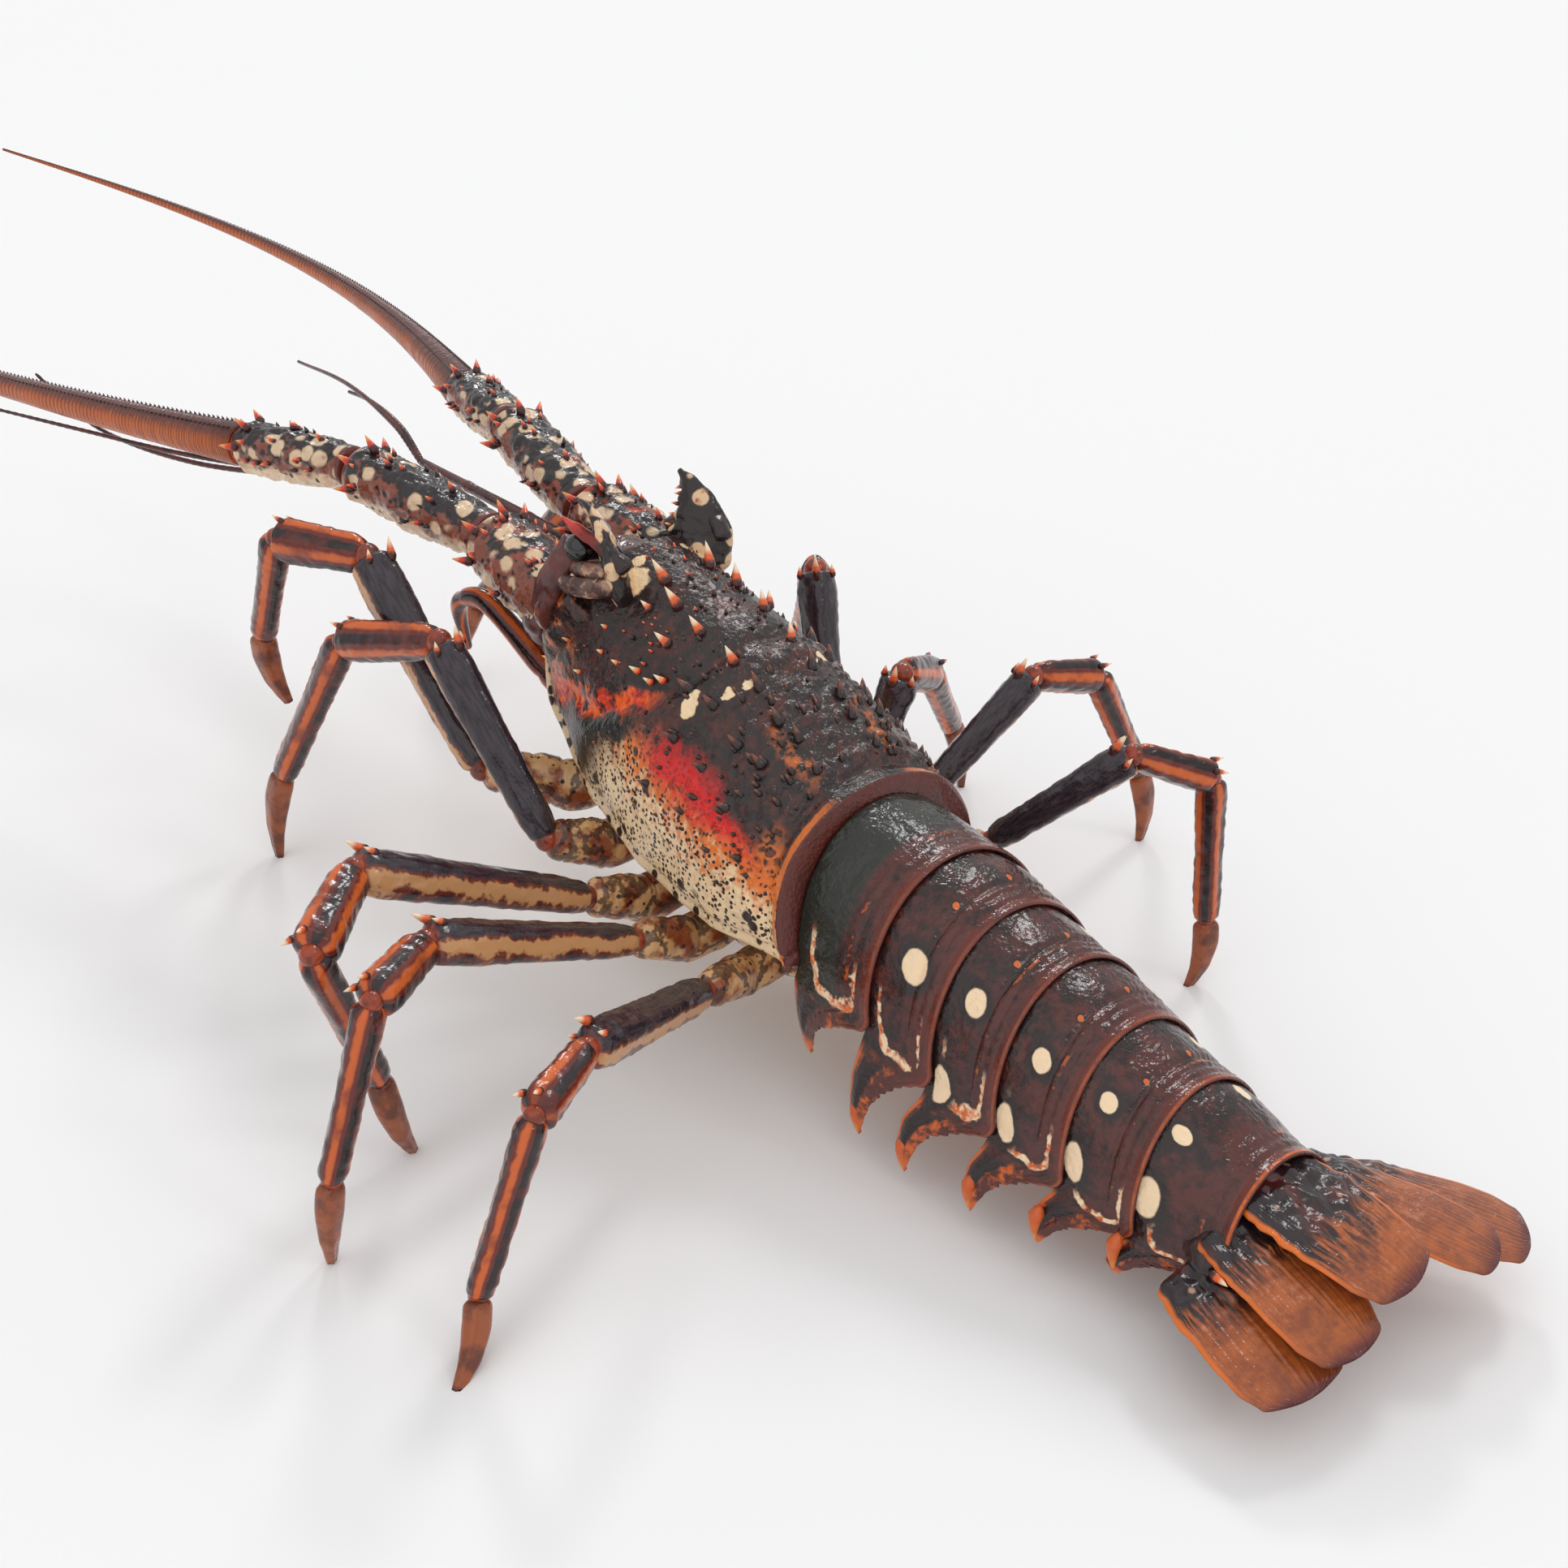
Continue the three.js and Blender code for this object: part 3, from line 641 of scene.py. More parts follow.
@dataclass(frozen=True)
class FeelerFinish(Finish):
    """The whips: purple maroon above, orange below, ringed all along."""

    top: Colour = tint(104, 54, 48)
    under: Colour = tint(196, 96, 38)
    ring: Colour = tint(66, 36, 34)
    rings: float = 210.0
    depth: float = 0.0003

    def colour(self, board: Board) -> Wire:
        """Dark above and orange below, with fine rings."""
        fine = board.drift(600.0, 2.0)
        low = board.turn.cosine() + fine * 0.5
        shell = board.blend(self.top, self.under, low.step(-0.85, -0.25))
        ringed = (board.length * (math.tau * self.rings)).sine() + fine
        return board.blend(shell, self.ring, ringed.step(0.3, 0.9) * 0.6)

    def height(self, board: Board) -> Wire:
        """The fine rings."""
        return (board.length * (math.tau * self.rings)).sine() * 0.5 + 0.5


@dataclass(frozen=True)
class BladeFinish(Finish):
    """A blade of the tail fan: black knobbly base, then ribbed brown leather with a maroon edge."""

    black: Colour = tint(42, 32, 34)
    orange: Colour = tint(176, 92, 42)
    brown: Colour = tint(134, 68, 38)
    edge: Colour = tint(96, 36, 34)
    rim: Colour = tint(222, 110, 32)
    pink: Colour = tint(196, 150, 130)
    base: float = 0.34
    ribs: float = 34.0
    depth: float = 0.0002

    def colour(self, board: Board) -> Wire:
        """Base, ribs, blade and edge along the length, with an orange outer rim and a pink painted
        highlight just past the dark base.
        """
        wander, fine = board.drift(120.0, 4.0), board.drift(500.0)
        streak = board.cloud(4.0, 3.0, board.flow(2.0, 14.0))
        length = board.length + wander * 0.1
        ribbed = (board.girth * (math.tau * self.ribs)).sine() * 0.5 + 0.5
        warmth = streak * 0.25 + wander * 0.8 + fine * 0.5
        # Pink painted highlight on the leather just past the dark base, where the wet blade would catch the
        # light.
        painted_highlight = (streak + fine).step(0.62, 0.8) * length.near(self.base + 0.12, 0.2, 0.8)
        leather = board.paint(self.brown, [
            (self.orange, warmth.step(-0.05, 0.3)),
            (self.brown, ribbed * 0.06),
            (self.pink, painted_highlight * 0.35),
            (self.edge, (length + streak * 0.12).step(0.84, 1.0)),
        ])
        knobs = board.blend(self.black, self.edge, wander.step(-0.05, 0.2))
        knobs = board.blend(knobs, self.pink, (board.cells(200.0) + fine * 0.3).step(0.2, 0.1) * 0.8)
        streaks = board.blend(self.black, leather, streak.step(0.45, 0.6))
        shell = board.blend(streaks, leather, (length + fine * 0.1).step(self.base, self.base + 0.16))
        shell = board.blend(knobs, shell, length.step(self.base - 0.08, self.base))
        rim = abs(board.turn.sine()).step(0.9, 0.97) * length.step(0.85, 0.6)
        return board.blend(shell, self.rim, rim)

    def height(self, board: Board) -> Wire:
        """Fine ribs that run to the blade's end."""
        ribbed = (board.girth * (math.tau * self.ribs * 2.0)).sine() * 0.09
        return ribbed + board.cloud(900.0, 2.0) * 0.8


@dataclass(frozen=True)
class EyeFinish(Finish):
    """The eye's bead: black, faceted too finely to see, and wet."""

    black: Colour = tint(10, 9, 12)
    rough: float = 0.1
    coat: float = 0.8
    depth: float = 0.00001
    grain: float = 4000.0

    def colour(self, board: Board) -> Wire:
        """Black, with a breath of brown."""
        return board.blend(self.black, tint(34, 22, 20), board.cloud(300.0, 1.0).step(0.55, 0.8))


@dataclass(frozen=True)
class FloorFinish(Finish):
    """The pale studio floor."""

    pale: Colour = (0.9, 0.9, 0.905)

    def material(self) -> bpy.types.Material:
        """A matt pale material, with nothing on it."""
        board = Board(self.name)
        shade = board.blend(self.pale, (0.89, 0.89, 0.895), board.cloud(2.0, 2.0))
        board.finish(shade, 0.85, board.cloud(500.0, 1.0), 0.00002, 0.0, 0.15)
        return board.material


class Moulding:
    """The shapes of one piece: grids that are bent into place, in millimetres, and welded."""

    def __init__(self) -> None:
        """Starts with nothing but the map that the finishes read."""
        self.mesh = bmesh.new()
        self.mesh.loops.layers.uv.new("skin")
        self.carrier = bpy.data.meshes.new("carrier")

    def skin(self, rows: int, columns: int, place: Place, finish: int = 0,
             facing: Optional[Vector] = None) -> None:
        """Bends a grid into place and welds it where it meets itself.

        Args:
            rows: steps along the length.
            columns: steps around the girth.
            place: the point for a share of the length and a share of the girth.
            finish: which of the piece's finishes it has.
            facing: for an open sheet, a way that its outer face looks.
        """
        part = bmesh.new()
        skin = part.loops.layers.uv.new("skin")
        bmesh.ops.create_grid(part, x_segments=rows, y_segments=columns, size=0.5)
        for face in part.faces:
            face.smooth = True
            face.material_index = finish
            for loop in face.loops:
                loop[skin].uv = (loop.vert.co.x + 0.5, loop.vert.co.y + 0.5)
        for vert in part.verts:
            vert.co = place(vert.co.x + 0.5, vert.co.y + 0.5)
        bmesh.ops.remove_doubles(part, verts=part.verts[:], dist=WELD)
        bmesh.ops.recalc_face_normals(part, faces=part.faces[:])
        if facing is not None:
            toward = sum((face.normal * face.calc_area()).dot(facing) for face in part.faces)
            if toward < 0:
                bmesh.ops.reverse_faces(part, faces=part.faces[:])
        part.to_mesh(self.carrier)
        part.free()
        self.mesh.from_mesh(self.carrier)

    def thorn(self, root: Vector, tip: Vector, radius: float, finish: int,
              bend: Optional[Vector] = None, sides: int = 8, rows: int = 6) -> None:
        """Adds a closed spine whose foot is sunk in what it grows from.

        Args:
            root: where it leaves the shell.
            tip: its point.
            radius: half its width at the root.
            finish: which of the piece's finishes it has.
            bend: how far its middle is pushed off the straight line.
            sides: faces around it.
            rows: faces along it.
        """
        ahead = (tip - root).normalized()
        side = ahead.orthogonal().normalized()
        top = side.cross(ahead)
        foot = root - ahead * radius
        bow = bend or Vector((0.0, 0.0, 0.0))

        def place(share: float, girth: float) -> Vector:
            """A point of the spine."""
            swell = 1.25 * math.sin(math.pi * min(0.5, share * 1.6)) * (1.0 - share) ** 0.85
            wide = radius * swell
            turn = girth * math.tau
            centre = mix(foot, tip, share) + bow * math.sin(math.pi * share)
            return centre + (side * math.cos(turn) + top * math.sin(turn)) * wide

        self.skin(rows, sides, place, finish)

    def piece(self, name: str, finishes: Sequence[Finish], nodes: Sequence[str],
              thickness: float = 0.0) -> bpy.types.Object:
        """Turns the shapes into a finished object in the row's frame.

        Args:
            name: the piece's name.
            finishes: the finishes that its faces number.
            nodes: the CAD nodes that it stands for.
            thickness: the wall that an open sheet gets, in millimetres.

        Returns:
            The object, riding on the body.
        """
        self.mesh.transform(Bench.placing())
        data = bpy.data.meshes.new(name)
        self.mesh.to_mesh(data)
        self.mesh.free()
        bpy.data.meshes.remove(self.carrier)
        made = put(name, data)
        for finish in finishes:
            data.materials.append(finish.material())
        if thickness:
            wall = made.modifiers.new("wall", "SOLIDIFY")
            wall.thickness = thickness * MM
            wall.offset = -1.0
        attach(made, BODY)
        if nodes:
            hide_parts(*nodes)
        log.info("%s: %d faces", name, len(data.polygons))
        return made


class Bench:
    """Where the animal's own frame lies in the row's frame."""

    EYE = Vector((17.2, -88.5, 113.5))
    EYE_RADIUS = 4.2

    @classmethod
    def placing(cls) -> Matrix:
        """The move and the scale from the animal's millimetres to the row's metres."""
        low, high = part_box("eye_left")
        left = high.x - (cls.EYE.x + cls.EYE_RADIUS) * MM
        ahead = low.y - (cls.EYE.y - cls.EYE_RADIUS) * MM
        return Matrix.Translation(Vector((left, ahead, 0.0))) @ Matrix.Scale(MM, 4)


class Limb:
    """A smooth run of sections through stations: a feeler, a leg's segment, a horn."""

    STEP = 0.01

    def __init__(self, stations: Sequence[Station], across: Optional[Vector],
                 caps: tuple[float, float]) -> None:
        """Measures the run.

        Args:
            stations: each a centre, half the width and half the height.
            across: the way that the width lies, or None for level.
            caps: the length of each rounded end, as a share of the thickness there.
        """
        self.centres = [station[0] for station in stations]
        self.across = across
        steps = [(b - a).length for a, b in zip(self.centres, self.centres[1:])]
        self.length = sum(steps)
        self.marks = [sum(steps[:i]) / self.length for i in range(len(stations))]
        self.wide = [(mark, station[1]) for mark, station in zip(self.marks, stations)]
        self.tall = [(mark, station[2]) for mark, station in zip(self.marks, stations)]
        self.caps = caps
        self.cache: dict[float, tuple[Vector, Vector, Vector]] = {}

    def centre(self, share: float) -> Vector:
        """The centre at a share of the length, on a smooth curve through the stations."""
        last = len(self.centres) - 2
        span = max(i for i in range(last + 1) if share >= self.marks[i] or i == 0)
        start, end = self.marks[span], self.marks[span + 1]
        local = (share - start) / (end - start)
        first, second = self.centres[span], self.centres[span + 1]
        before = self.centres[span - 1] if span > 0 else first * 2.0 - second
        after = self.centres[span + 2] if span < last else second * 2.0 - first
        gap = end - start
        lead = self.marks[span - 1] if span > 0 else start - gap
        tail = self.marks[span + 2] if span < last else end + gap
        go = (second - before) * (gap / (end - lead))
        come = (after - first) * (gap / (tail - start))
        square, cube = local * local, local ** 3
        return (first * (2 * cube - 3 * square + 1) + go * (cube - 2 * square + local)
                + second * (3 * square - 2 * cube) + come * (cube - square))

    def frame(self, share: float) -> tuple[Vector, Vector, Vector]:
        """The centre, the way across and the way up at a share of the length."""
        key = round(share, 6)
        if key not in self.cache:
            fore, aft = min(1.0, share + self.STEP), max(0.0, share - self.STEP)
            ahead = (self.centre(fore) - self.centre(aft)).normalized()
            across = self.across or ahead.cross(UP)
            side = (across - ahead * across.dot(ahead)).normalized()
            self.cache[key] = (self.centre(share), side, side.cross(ahead))
        return self.cache[key]

    def cap(self, share: float) -> float:
        """How far the ends round the section off."""
        shrink = 1.0
        for reach, away, end in ((self.caps[0], share, 0), (self.caps[1], 1.0 - share, -1)):
            span = reach * self.wide[end][1] / self.length
            if away < span:
                shrink *= math.sqrt(max(0.0, 1.0 - (1.0 - away / span) ** 2))
        return shrink

    def point(self, share: float, turn: float, lift: float = 0.0) -> Vector:
        """A point of the surface; turn is 0 underneath and half a turn on top."""
        centre, side, top = self.frame(share)
        shrink = self.cap(share)
        wide = (along(self.wide, share) + lift) * shrink
        tall = (along(self.tall, share) + lift) * shrink
        return centre + side * (math.sin(turn) * wide) - top * (math.cos(turn) * tall)

    def outward(self, share: float, turn: float) -> Vector:
        """The way out of the surface."""
        _, side, top = self.frame(share)
        return (side * math.sin(turn) - top * math.cos(turn)).normalized()

    def spine(self, moulding: Moulding, spot: tuple[float, float], push: Vector, size: float,
              radius: float, finish: int, grid: tuple[int, int] = (8, 6), lift: float = 0.0) -> None:
        """Adds a spine at a place on the surface.

        Args:
            moulding: what it is added to.
            spot: its share of the length and its turn.
            push: what leans it away from the way out.
            size: its length.
            radius: half its width at the root.
            finish: which of the piece's finishes it has.
            grid: faces around it and along it.
            lift: how far its root is raised.
        """
        root = self.point(*spot, lift)
        way = (self.outward(*spot) + push).normalized()
        moulding.thorn(root, root + way * size, radius, finish, None, *grid)

    def cast(self, moulding: Moulding, rows: int, columns: int, finish: int = 0,
             relief: Optional[Relief] = None, floor: bool = False) -> None:
        """Adds the run to a moulding.

        Args:
            moulding: what it is added to.
            rows: steps along it.
            columns: steps around it.
            finish: which of the piece's finishes it has.
            relief: how far the surface stands out at a share and a turn.
            floor: whether it is flattened where it meets the floor.
        """

        def place(length: float, girth: float) -> Vector:
            """A point for the grid, with rows closer together at the ends."""
            share = mix(length, 0.5 - 0.5 * math.cos(math.pi * length), 0.8)
            turn = girth % 1.0 * math.tau
            spot = self.point(share, turn, relief(share, turn) if relief else 0.0)
            if floor and spot.z < 0.0:
                spot.z = 0.0
            return spot

        moulding.skin(rows, columns, place, finish)


THORN_BRIGHT = ThornFinish("thorn_bright", root=tint(70, 32, 28))
THORN_RED = ThornFinish(
    "thorn_red", root=tint(70, 30, 28), middle=tint(214, 60, 30), tip=tint(236, 150, 90))
THORN_DARK = ThornFinish(
    "thorn_dark", root=tint(38, 30, 30), middle=tint(52, 34, 32), tip=tint(120, 70, 52))
THORN_PALE = ThornFinish(
    "thorn_pale", root=tint(222, 70, 34), middle=tint(236, 150, 80), tip=tint(248, 226, 190))
CUFF = PlainFinish(
    "cuff", first=tint(104, 52, 46), second=tint(72, 36, 36), tip=tint(104, 52, 46), rough=0.28,
    depth=0.0001)
KNUCKLE = PlainFinish(
    "knuckle", first=tint(158, 62, 32), second=tint(96, 42, 32), tip=tint(130, 48, 28), scale=300.0)


@dataclass
class Carapace:
    """The shell over the head and back, its rows of spines, and the horns and eyes at its front."""

    ridge_y: Pairs = ((0.0, -81.0), (0.25, -62.0), (0.5, -41.0), (0.75, -20.0), (1.0, 0.0))
    ridge_z: Pairs = ((0.0, 112.5), (0.25, 107.0), (0.5, 98.5), (0.75, 87.0), (1.0, 74.0))
    half_width: Pairs = ((0.0, 20.0), (0.12, 24.0), (0.25, 27.5), (0.5, 32.5), (0.75, 34.5), (1.0, 32.0))
    depth: Pairs = ((0.0, 40.0), (0.12, 56.0), (0.25, 66.5), (0.5, 67.0), (0.75, 56.5), (1.0, 39.0))
    lean: Pairs = ((0.0, 0.72), (0.12, 0.5), (0.25, 0.34), (0.5, 0.2), (0.75, 0.04), (1.0, -0.14))
    widest: float = 0.62
    cap: float = 0.012
    rows: int = 230
    columns: int = 320
    neck: Pairs = ((0.0, 0.5), (0.5, 0.48), (0.87, 0.4), (1.21, 0.29), (1.62, 0.12), (2.0, 0.0))
    seed: int = 11
    scattered: int = 560

    SPOTS = (
        (0.17, 0.24, 6.6, 1.9, 1), (0.29, 0.3, 5.8, 1.8, 1), (0.385, 0.3, 5.0, 1.7, 1),
        (0.53, 0.25, 4.6, 1.7, 1), (0.35, 0.55, 4.4, 1.6, 1), (0.33, 0.85, 2.6, 1.1, 4),
        (0.375, 0.82, 2.2, 1.0, 4), (0.4, 0.74, 2.8, 1.1, 4), (0.21, 0.5, 3.0, 1.2, 1),
        (0.0, 1.45, 4.0, 1.2, 4), (0.07, 1.3, 3.0, 1.1, 4), (0.14, 0.9, 1.4, 0.8, 4),
        (0.17, 1.04, 1.4, 0.8, 4), (0.04, 1.7, 2.2, 0.9, 4), (0.14, 1.33, 1.8, 0.9, 4),
        (0.24, 0.95, 1.6, 0.9, 4), (0.62, 0.22, 4.6, 1.8, 3), (0.71, 0.26, 4.2, 1.7, 3),
        (0.8, 0.22, 4.0, 1.6, 3), (0.88, 0.26, 3.4, 1.5, 3), (0.48, 0.62, 4.0, 1.7, 3),
        (0.58, 0.56, 4.0, 1.7, 3), (0.68, 0.6, 3.8, 1.6, 3), (0.78, 0.56, 3.6, 1.6, 3),
        (0.44, 1.02, 3.2, 1.5, 3), (0.54, 0.92, 3.4, 1.6, 3), (0.64, 0.9, 3.2, 1.5, 3),
        (0.76, 0.96, 3.0, 1.4, 3), (0.5, 1.3, 2.2, 1.3, 3), (0.63, 1.24, 2.2, 1.3, 3),
        (0.74, 1.3, 2.0, 1.2, 3), (0.84, 1.2, 2.0, 1.2, 3),
    )

    def surface(self, share: float, turn: float) -> Vector:
        """The smooth shell; turn is 0 on the ridge and grows to the left."""
        depth = along(self.depth, share)
        upper = depth * self.widest
        cosine = math.cos(turn)
        reach = upper * cosine if cosine > 0 else -(depth - upper) * abs(cosine) ** 0.6
        drop = upper - reach
        sine = math.sin(turn)
        across = math.copysign(abs(sine) ** 0.9, sine) * along(self.half_width, share)
        lean = along(self.lean, share) * drop
        return Vector((across, along(self.ridge_y, share) - lean, along(self.ridge_z, share) - drop))

    def outward(self, share: float, turn: float) -> Vector:
        """The way out of the smooth shell."""
        step = 0.01
        ahead = self.surface(share + step, turn) - self.surface(share - step, turn)
        around = self.surface(share, turn + step) - self.surface(share, turn - step)
        return around.cross(ahead).normalized()

    def groove(self, turn: float) -> float:
        """Where the neck groove crosses the shell at a turn from the ridge."""
        return along(self.neck, abs(turn))

    def relief(self, share: float, turn: float, spot: Vector) -> float:
        """How far the shell stands out from the smooth one.

        Args:
            share: place along the length.
            turn: place around the girth.
            spot: the point on the smooth shell.

        Returns:
            Millimetres outwards.
        """
        side = abs(turn)
        rough = ease(1.9, 1.2, side) * ease(0.95, 0.9, share)
        nearest = noise.voronoi(spot * 0.3)[0][0]
        lumps = ease(0.62, 0.05, nearest)
        small = noise.noise(spot * 0.75)
        lift = rough * (lumps * mix(0.2, 0.9, ease(0.42, 0.62, share)) + small * 0.2)
        upper = 1.0 - ease(1.5, 1.9, side)
        lift -= 1.3 * bell(share, self.groove(turn), 0.034) * upper
        lift += 0.8 * bell(share, self.groove(turn) + 0.07, 0.04) * upper
        lift += 0.5 * noise.noise(spot * 0.11)
        lift -= 1.1 * bell(share, 0.93, 0.014) * (1.0 - ease(1.6, 2.1, side))
        lift += 0.9 * bell(share, 0.976, 0.016)
        lift += 0.9 * bell(side, 1.98, 0.06) - 0.6 * bell(side, 1.86, 0.05)
        return lift

    def shell_point(self, length: float, girth: float) -> Vector:
        """A point of the finished shell, whose two ends close on their middles."""
        share = clamp((length - self.cap) / (1.0 - 2.0 * self.cap))
        turn = (girth % 1.0 - 0.5) * math.tau
        if girth == 1.0:
            turn = -math.pi
        spot = self.surface(share, turn)
        spot = spot + self.outward(clamp(share, 0.011, 0.989), turn) * self.relief(share, turn, spot)
        closing = min(length, 1.0 - length) / self.cap
        if closing < 1.0:
            middle = self.surface(share, 0.0) * 0.45 + self.surface(share, math.pi) * 0.55
            spot = mix(middle, spot, closing)
        return spot

    def spines(self, moulding: Moulding) -> None:
        """Adds the rows of large spines, the spines of the front margin and the many small ones.

        Each of SPOTS is a share of the length, a turn, a length, a radius and a finish.
        """
        forward = Vector((0.0, -0.85, 0.2))
        for share, turn, size, radius, tone in self.SPOTS:
            for side in Side:
                root = self.surface(share, turn * side.value)
                way = (self.outward(share, turn * side.value) + forward).normalized()
                bend = Vector((0.0, 0.11, -0.05)) * size
                moulding.thorn(root, root + way * size, radius, tone, bend, 10, 8)
        dice = random.Random(self.seed)
        for _ in range(self.scattered):
            share = dice.uniform(0.05, 0.915)
            turn = dice.uniform(-1.5, 1.5)
            if abs(share - self.groove(turn)) < 0.03:
                continue
            root = self.surface(share, turn)
            way = (self.outward(share, turn) * dice.uniform(0.7, 1.2) + forward).normalized()
            flank = 1.0 if abs(turn) < 1.1 else 0.6
            size = mix(0.8, 2.8, dice.random() ** 1.6) * flank * mix(0.6, 1.0, ease(0.4, 0.55, share))
            tone = 3 if share > 0.34 or dice.random() < 0.5 else 2
            moulding.thorn(root, root + way * size, size * 0.46, tone, None, 6, 4)

    def make(self) -> None:
        """Builds the shell with its spines."""
        moulding = Moulding()
        moulding.skin(self.rows, self.columns, self.shell_point)
        self.spines(moulding)
        shell = CarapaceFinish("carapace_shell_finish")
        finishes = (shell, THORN_BRIGHT, THORN_RED, THORN_DARK, THORN_PALE)
        moulding.piece("carapace_with_spines", finishes, ["carapace"])


@dataclass
class Head:
    """The head's front: plate, horns, eyes and the folds around the antenna bases."""

    bead_radius: float = 4.0

    PLATE = (((0.0, -84.0, 91.0), 15.0, 18.0), ((0.0, -98.0, 93.0), 13.0, 16.0),
             ((0.0, -108.0, 95.0), 9.0, 12.0), ((0.0, -116.0, 97.0), 5.0, 7.0))
    HORN = (((11.4, -76.0, 99.0), 3.0, 4.0), ((12.9, -77.6, 104.5), 3.5, 8.0),
            ((14.2, -79.4, 111.5), 3.0, 8.4), ((14.9, -81.6, 117.5), 2.2, 5.6),
            ((15.5, -85.0, 122.2), 1.4, 2.8), ((16.0, -89.8, 124.8), 0.5, 0.7))
    BROW = (((15.5, -71.5, 111.0), 2.6, 1.8), ((18.0, -79.0, 116.6), 2.4, 1.6),
            ((19.4, -86.0, 118.6), 1.8, 1.1), ((20.6, -91.0, 121.4), 0.35, 0.35))
    FOLD_ABOVE = (((16.0, -74.0, 111.0), 1.8, 2.2), ((20.0, -80.0, 110.0), 1.7, 2.4),
                  ((20.6, -86.0, 109.0), 1.6, 2.2), ((18.0, -91.0, 109.6), 1.2, 1.6))
    FOLD_BELOW = (((18.0, -74.0, 106.6), 1.8, 2.4), ((22.0, -81.5, 105.6), 1.8, 2.8),
                  ((22.4, -89.0, 104.6), 1.6, 2.6), ((20.0, -94.0, 105.6), 1.2, 1.8))
    SOCKET_CUFF = (((19.0, -89.0, 115.5), 1.8, 3.2), ((22.4, -92.5, 106.5), 2.2, 4.2),
                   ((23.4, -98.5, 97.0), 2.4, 4.4), ((22.4, -104.5, 88.0), 2.2, 3.8),
                   ((19.0, -107.0, 81.0), 1.6, 2.6))
    JAW = (((17.0, -86.0, 100.0), 5.0, 7.0), ((19.0, -93.0, 92.0), 5.0, 7.0),
           ((18.0, -99.0, 82.0), 4.6, 6.0), ((13.0, -100.0, 70.0), 4.0, 5.0))
    CHEEK = ((0, BROW), (1, FOLD_ABOVE), (1, FOLD_BELOW), (2, SOCKET_CUFF), (3, JAW))
    MOUTH = (((9.0, -88.0, 62.0), 3.6, 3.6), ((14.0, -104.0, 66.0), 3.6, 3.6),
             ((19.0, -132.0, 84.0), 2.9, 2.9), ((20.0, -144.0, 80.0), 2.5, 2.5),
             ((15.0, -150.0, 62.0), 1.2, 1.2))

    def make(self) -> None:
        """Builds every piece of the head."""
        self.front_plate()
        for side in Side:
            self.cheek(side)
            self.horn(side)
            self.eye(side)
            self.mouth_limb(side)

    def front_plate(self) -> None:
        """The plate between the antenna bases."""
        moulding = Moulding()
        limb = Limb(Side.LEFT.stations(self.PLATE), ACROSS, (0.3, 0.6))

        def relief(share: float, turn: float) -> float:
            """A groove down the middle and low lumps."""
            spot = limb.point(share, turn)
            return noise.noise(spot * 0.3) * 0.9 - 1.2 * bell(turn, math.pi, 0.16)

        limb.cast(moulding, 60, 96, 0, relief)
        for side in Side:
            for share, turn, size in ((0.72, 2.6, 5.0), (0.45, 2.4, 4.5), (0.9, 2.2, 3.5)):
                angle = math.pi + (math.pi - turn) * side.value
                limb.spine(moulding, (share, angle), Vector((0.0, -0.8, 0.3)), size, 1.3, 1)
        finish = MarbledFinish(
            "front_plate_marbling", cream=tint(224, 188, 150), orange=tint(84, 42, 36),
            dark=tint(40, 28, 28), cream_share=0.25, dark_share=0.3)
        moulding.piece("front_plate", (finish, THORN_PALE), ["head_plate"])

    def horn(self, side: Side) -> None:
        """A horn over the eye, hooked forwards and up."""
        moulding = Moulding()
        limb = Limb(side.stations(self.HORN), side.point(0.743, -0.669, 0.0), (0.3, 0.9))
        front = math.pi if side is Side.LEFT else 0.0

        def relief(share: float, turn: float) -> float:
            """Low lumps, and scallops along the front edge."""
            lumps = noise.noise(limb.point(share, turn) * 0.4) * 0.4
            edge = bell(math.cos(turn - front), 1.0, 0.3) * ease(0.3, 0.5, share)
            return lumps + 0.5 * math.sin(share * 44.0) * edge

        limb.cast(moulding, 70, 60, 0, relief)
        for share in (0.5, 0.6, 0.7, 0.79, 0.87):
            limb.spine(moulding, (share, front), UP * 0.5, 1.9, 0.7, 1)
        name = f"horn_{side.word}"
        moulding.piece(f"{name}_hooked", (HornFinish("horn_spots"), THORN_BRIGHT), [name])

    def eye(self, side: Side) -> None:
        """The bead of the eye on its short stalk."""
        bead, foot = side.point(18.9, -86.4, 113.9), side.point(9.5, -86.5, 111.0)
        moulding = Moulding()
        run = ((0.0, 2.9, 2.7), (0.4, 3.0, 2.8), (0.8, 3.3, 3.1), (1.0, 3.0, 2.9))
        stations = [(mix(foot, bead, share), wide, tall) for share, wide, tall in run]
        Limb(stations, None, (0.3, 0.6)).cast(moulding, 24, 32, 1)

        def place(length: float, girth: float) -> Vector:
            """A point of the bead, a little longer than it is high."""
            way = ball(length, girth)
            return bead + Vector((way.x, way.y, way.z * 0.94)) * self.bead_radius

        moulding.skin(28, 40, place)
        stalk = PlainFinish(
            "eye_stalk", first=tint(48, 30, 34), second=tint(90, 50, 44), tip=tint(30, 20, 22))
        name = f"eye_{side.word}"
        moulding.piece(f"{name}_bead", (EyeFinish("eye_bead"), stalk), [name])

    def cheek(self, side: Side) -> None:
        """The red brow over the eye, the pale folds under it and the smooth cuff behind the antenna."""
        moulding = Moulding()
        for finish, run in self.CHEEK:
            limb = Limb(side.stations(run), ACROSS, (0.5, 0.9))

            def relief(share: float, turn: float, limb: Limb = limb) -> float:
                """Soft lumps."""
                return noise.noise(limb.point(share, turn) * 0.35) * 0.5

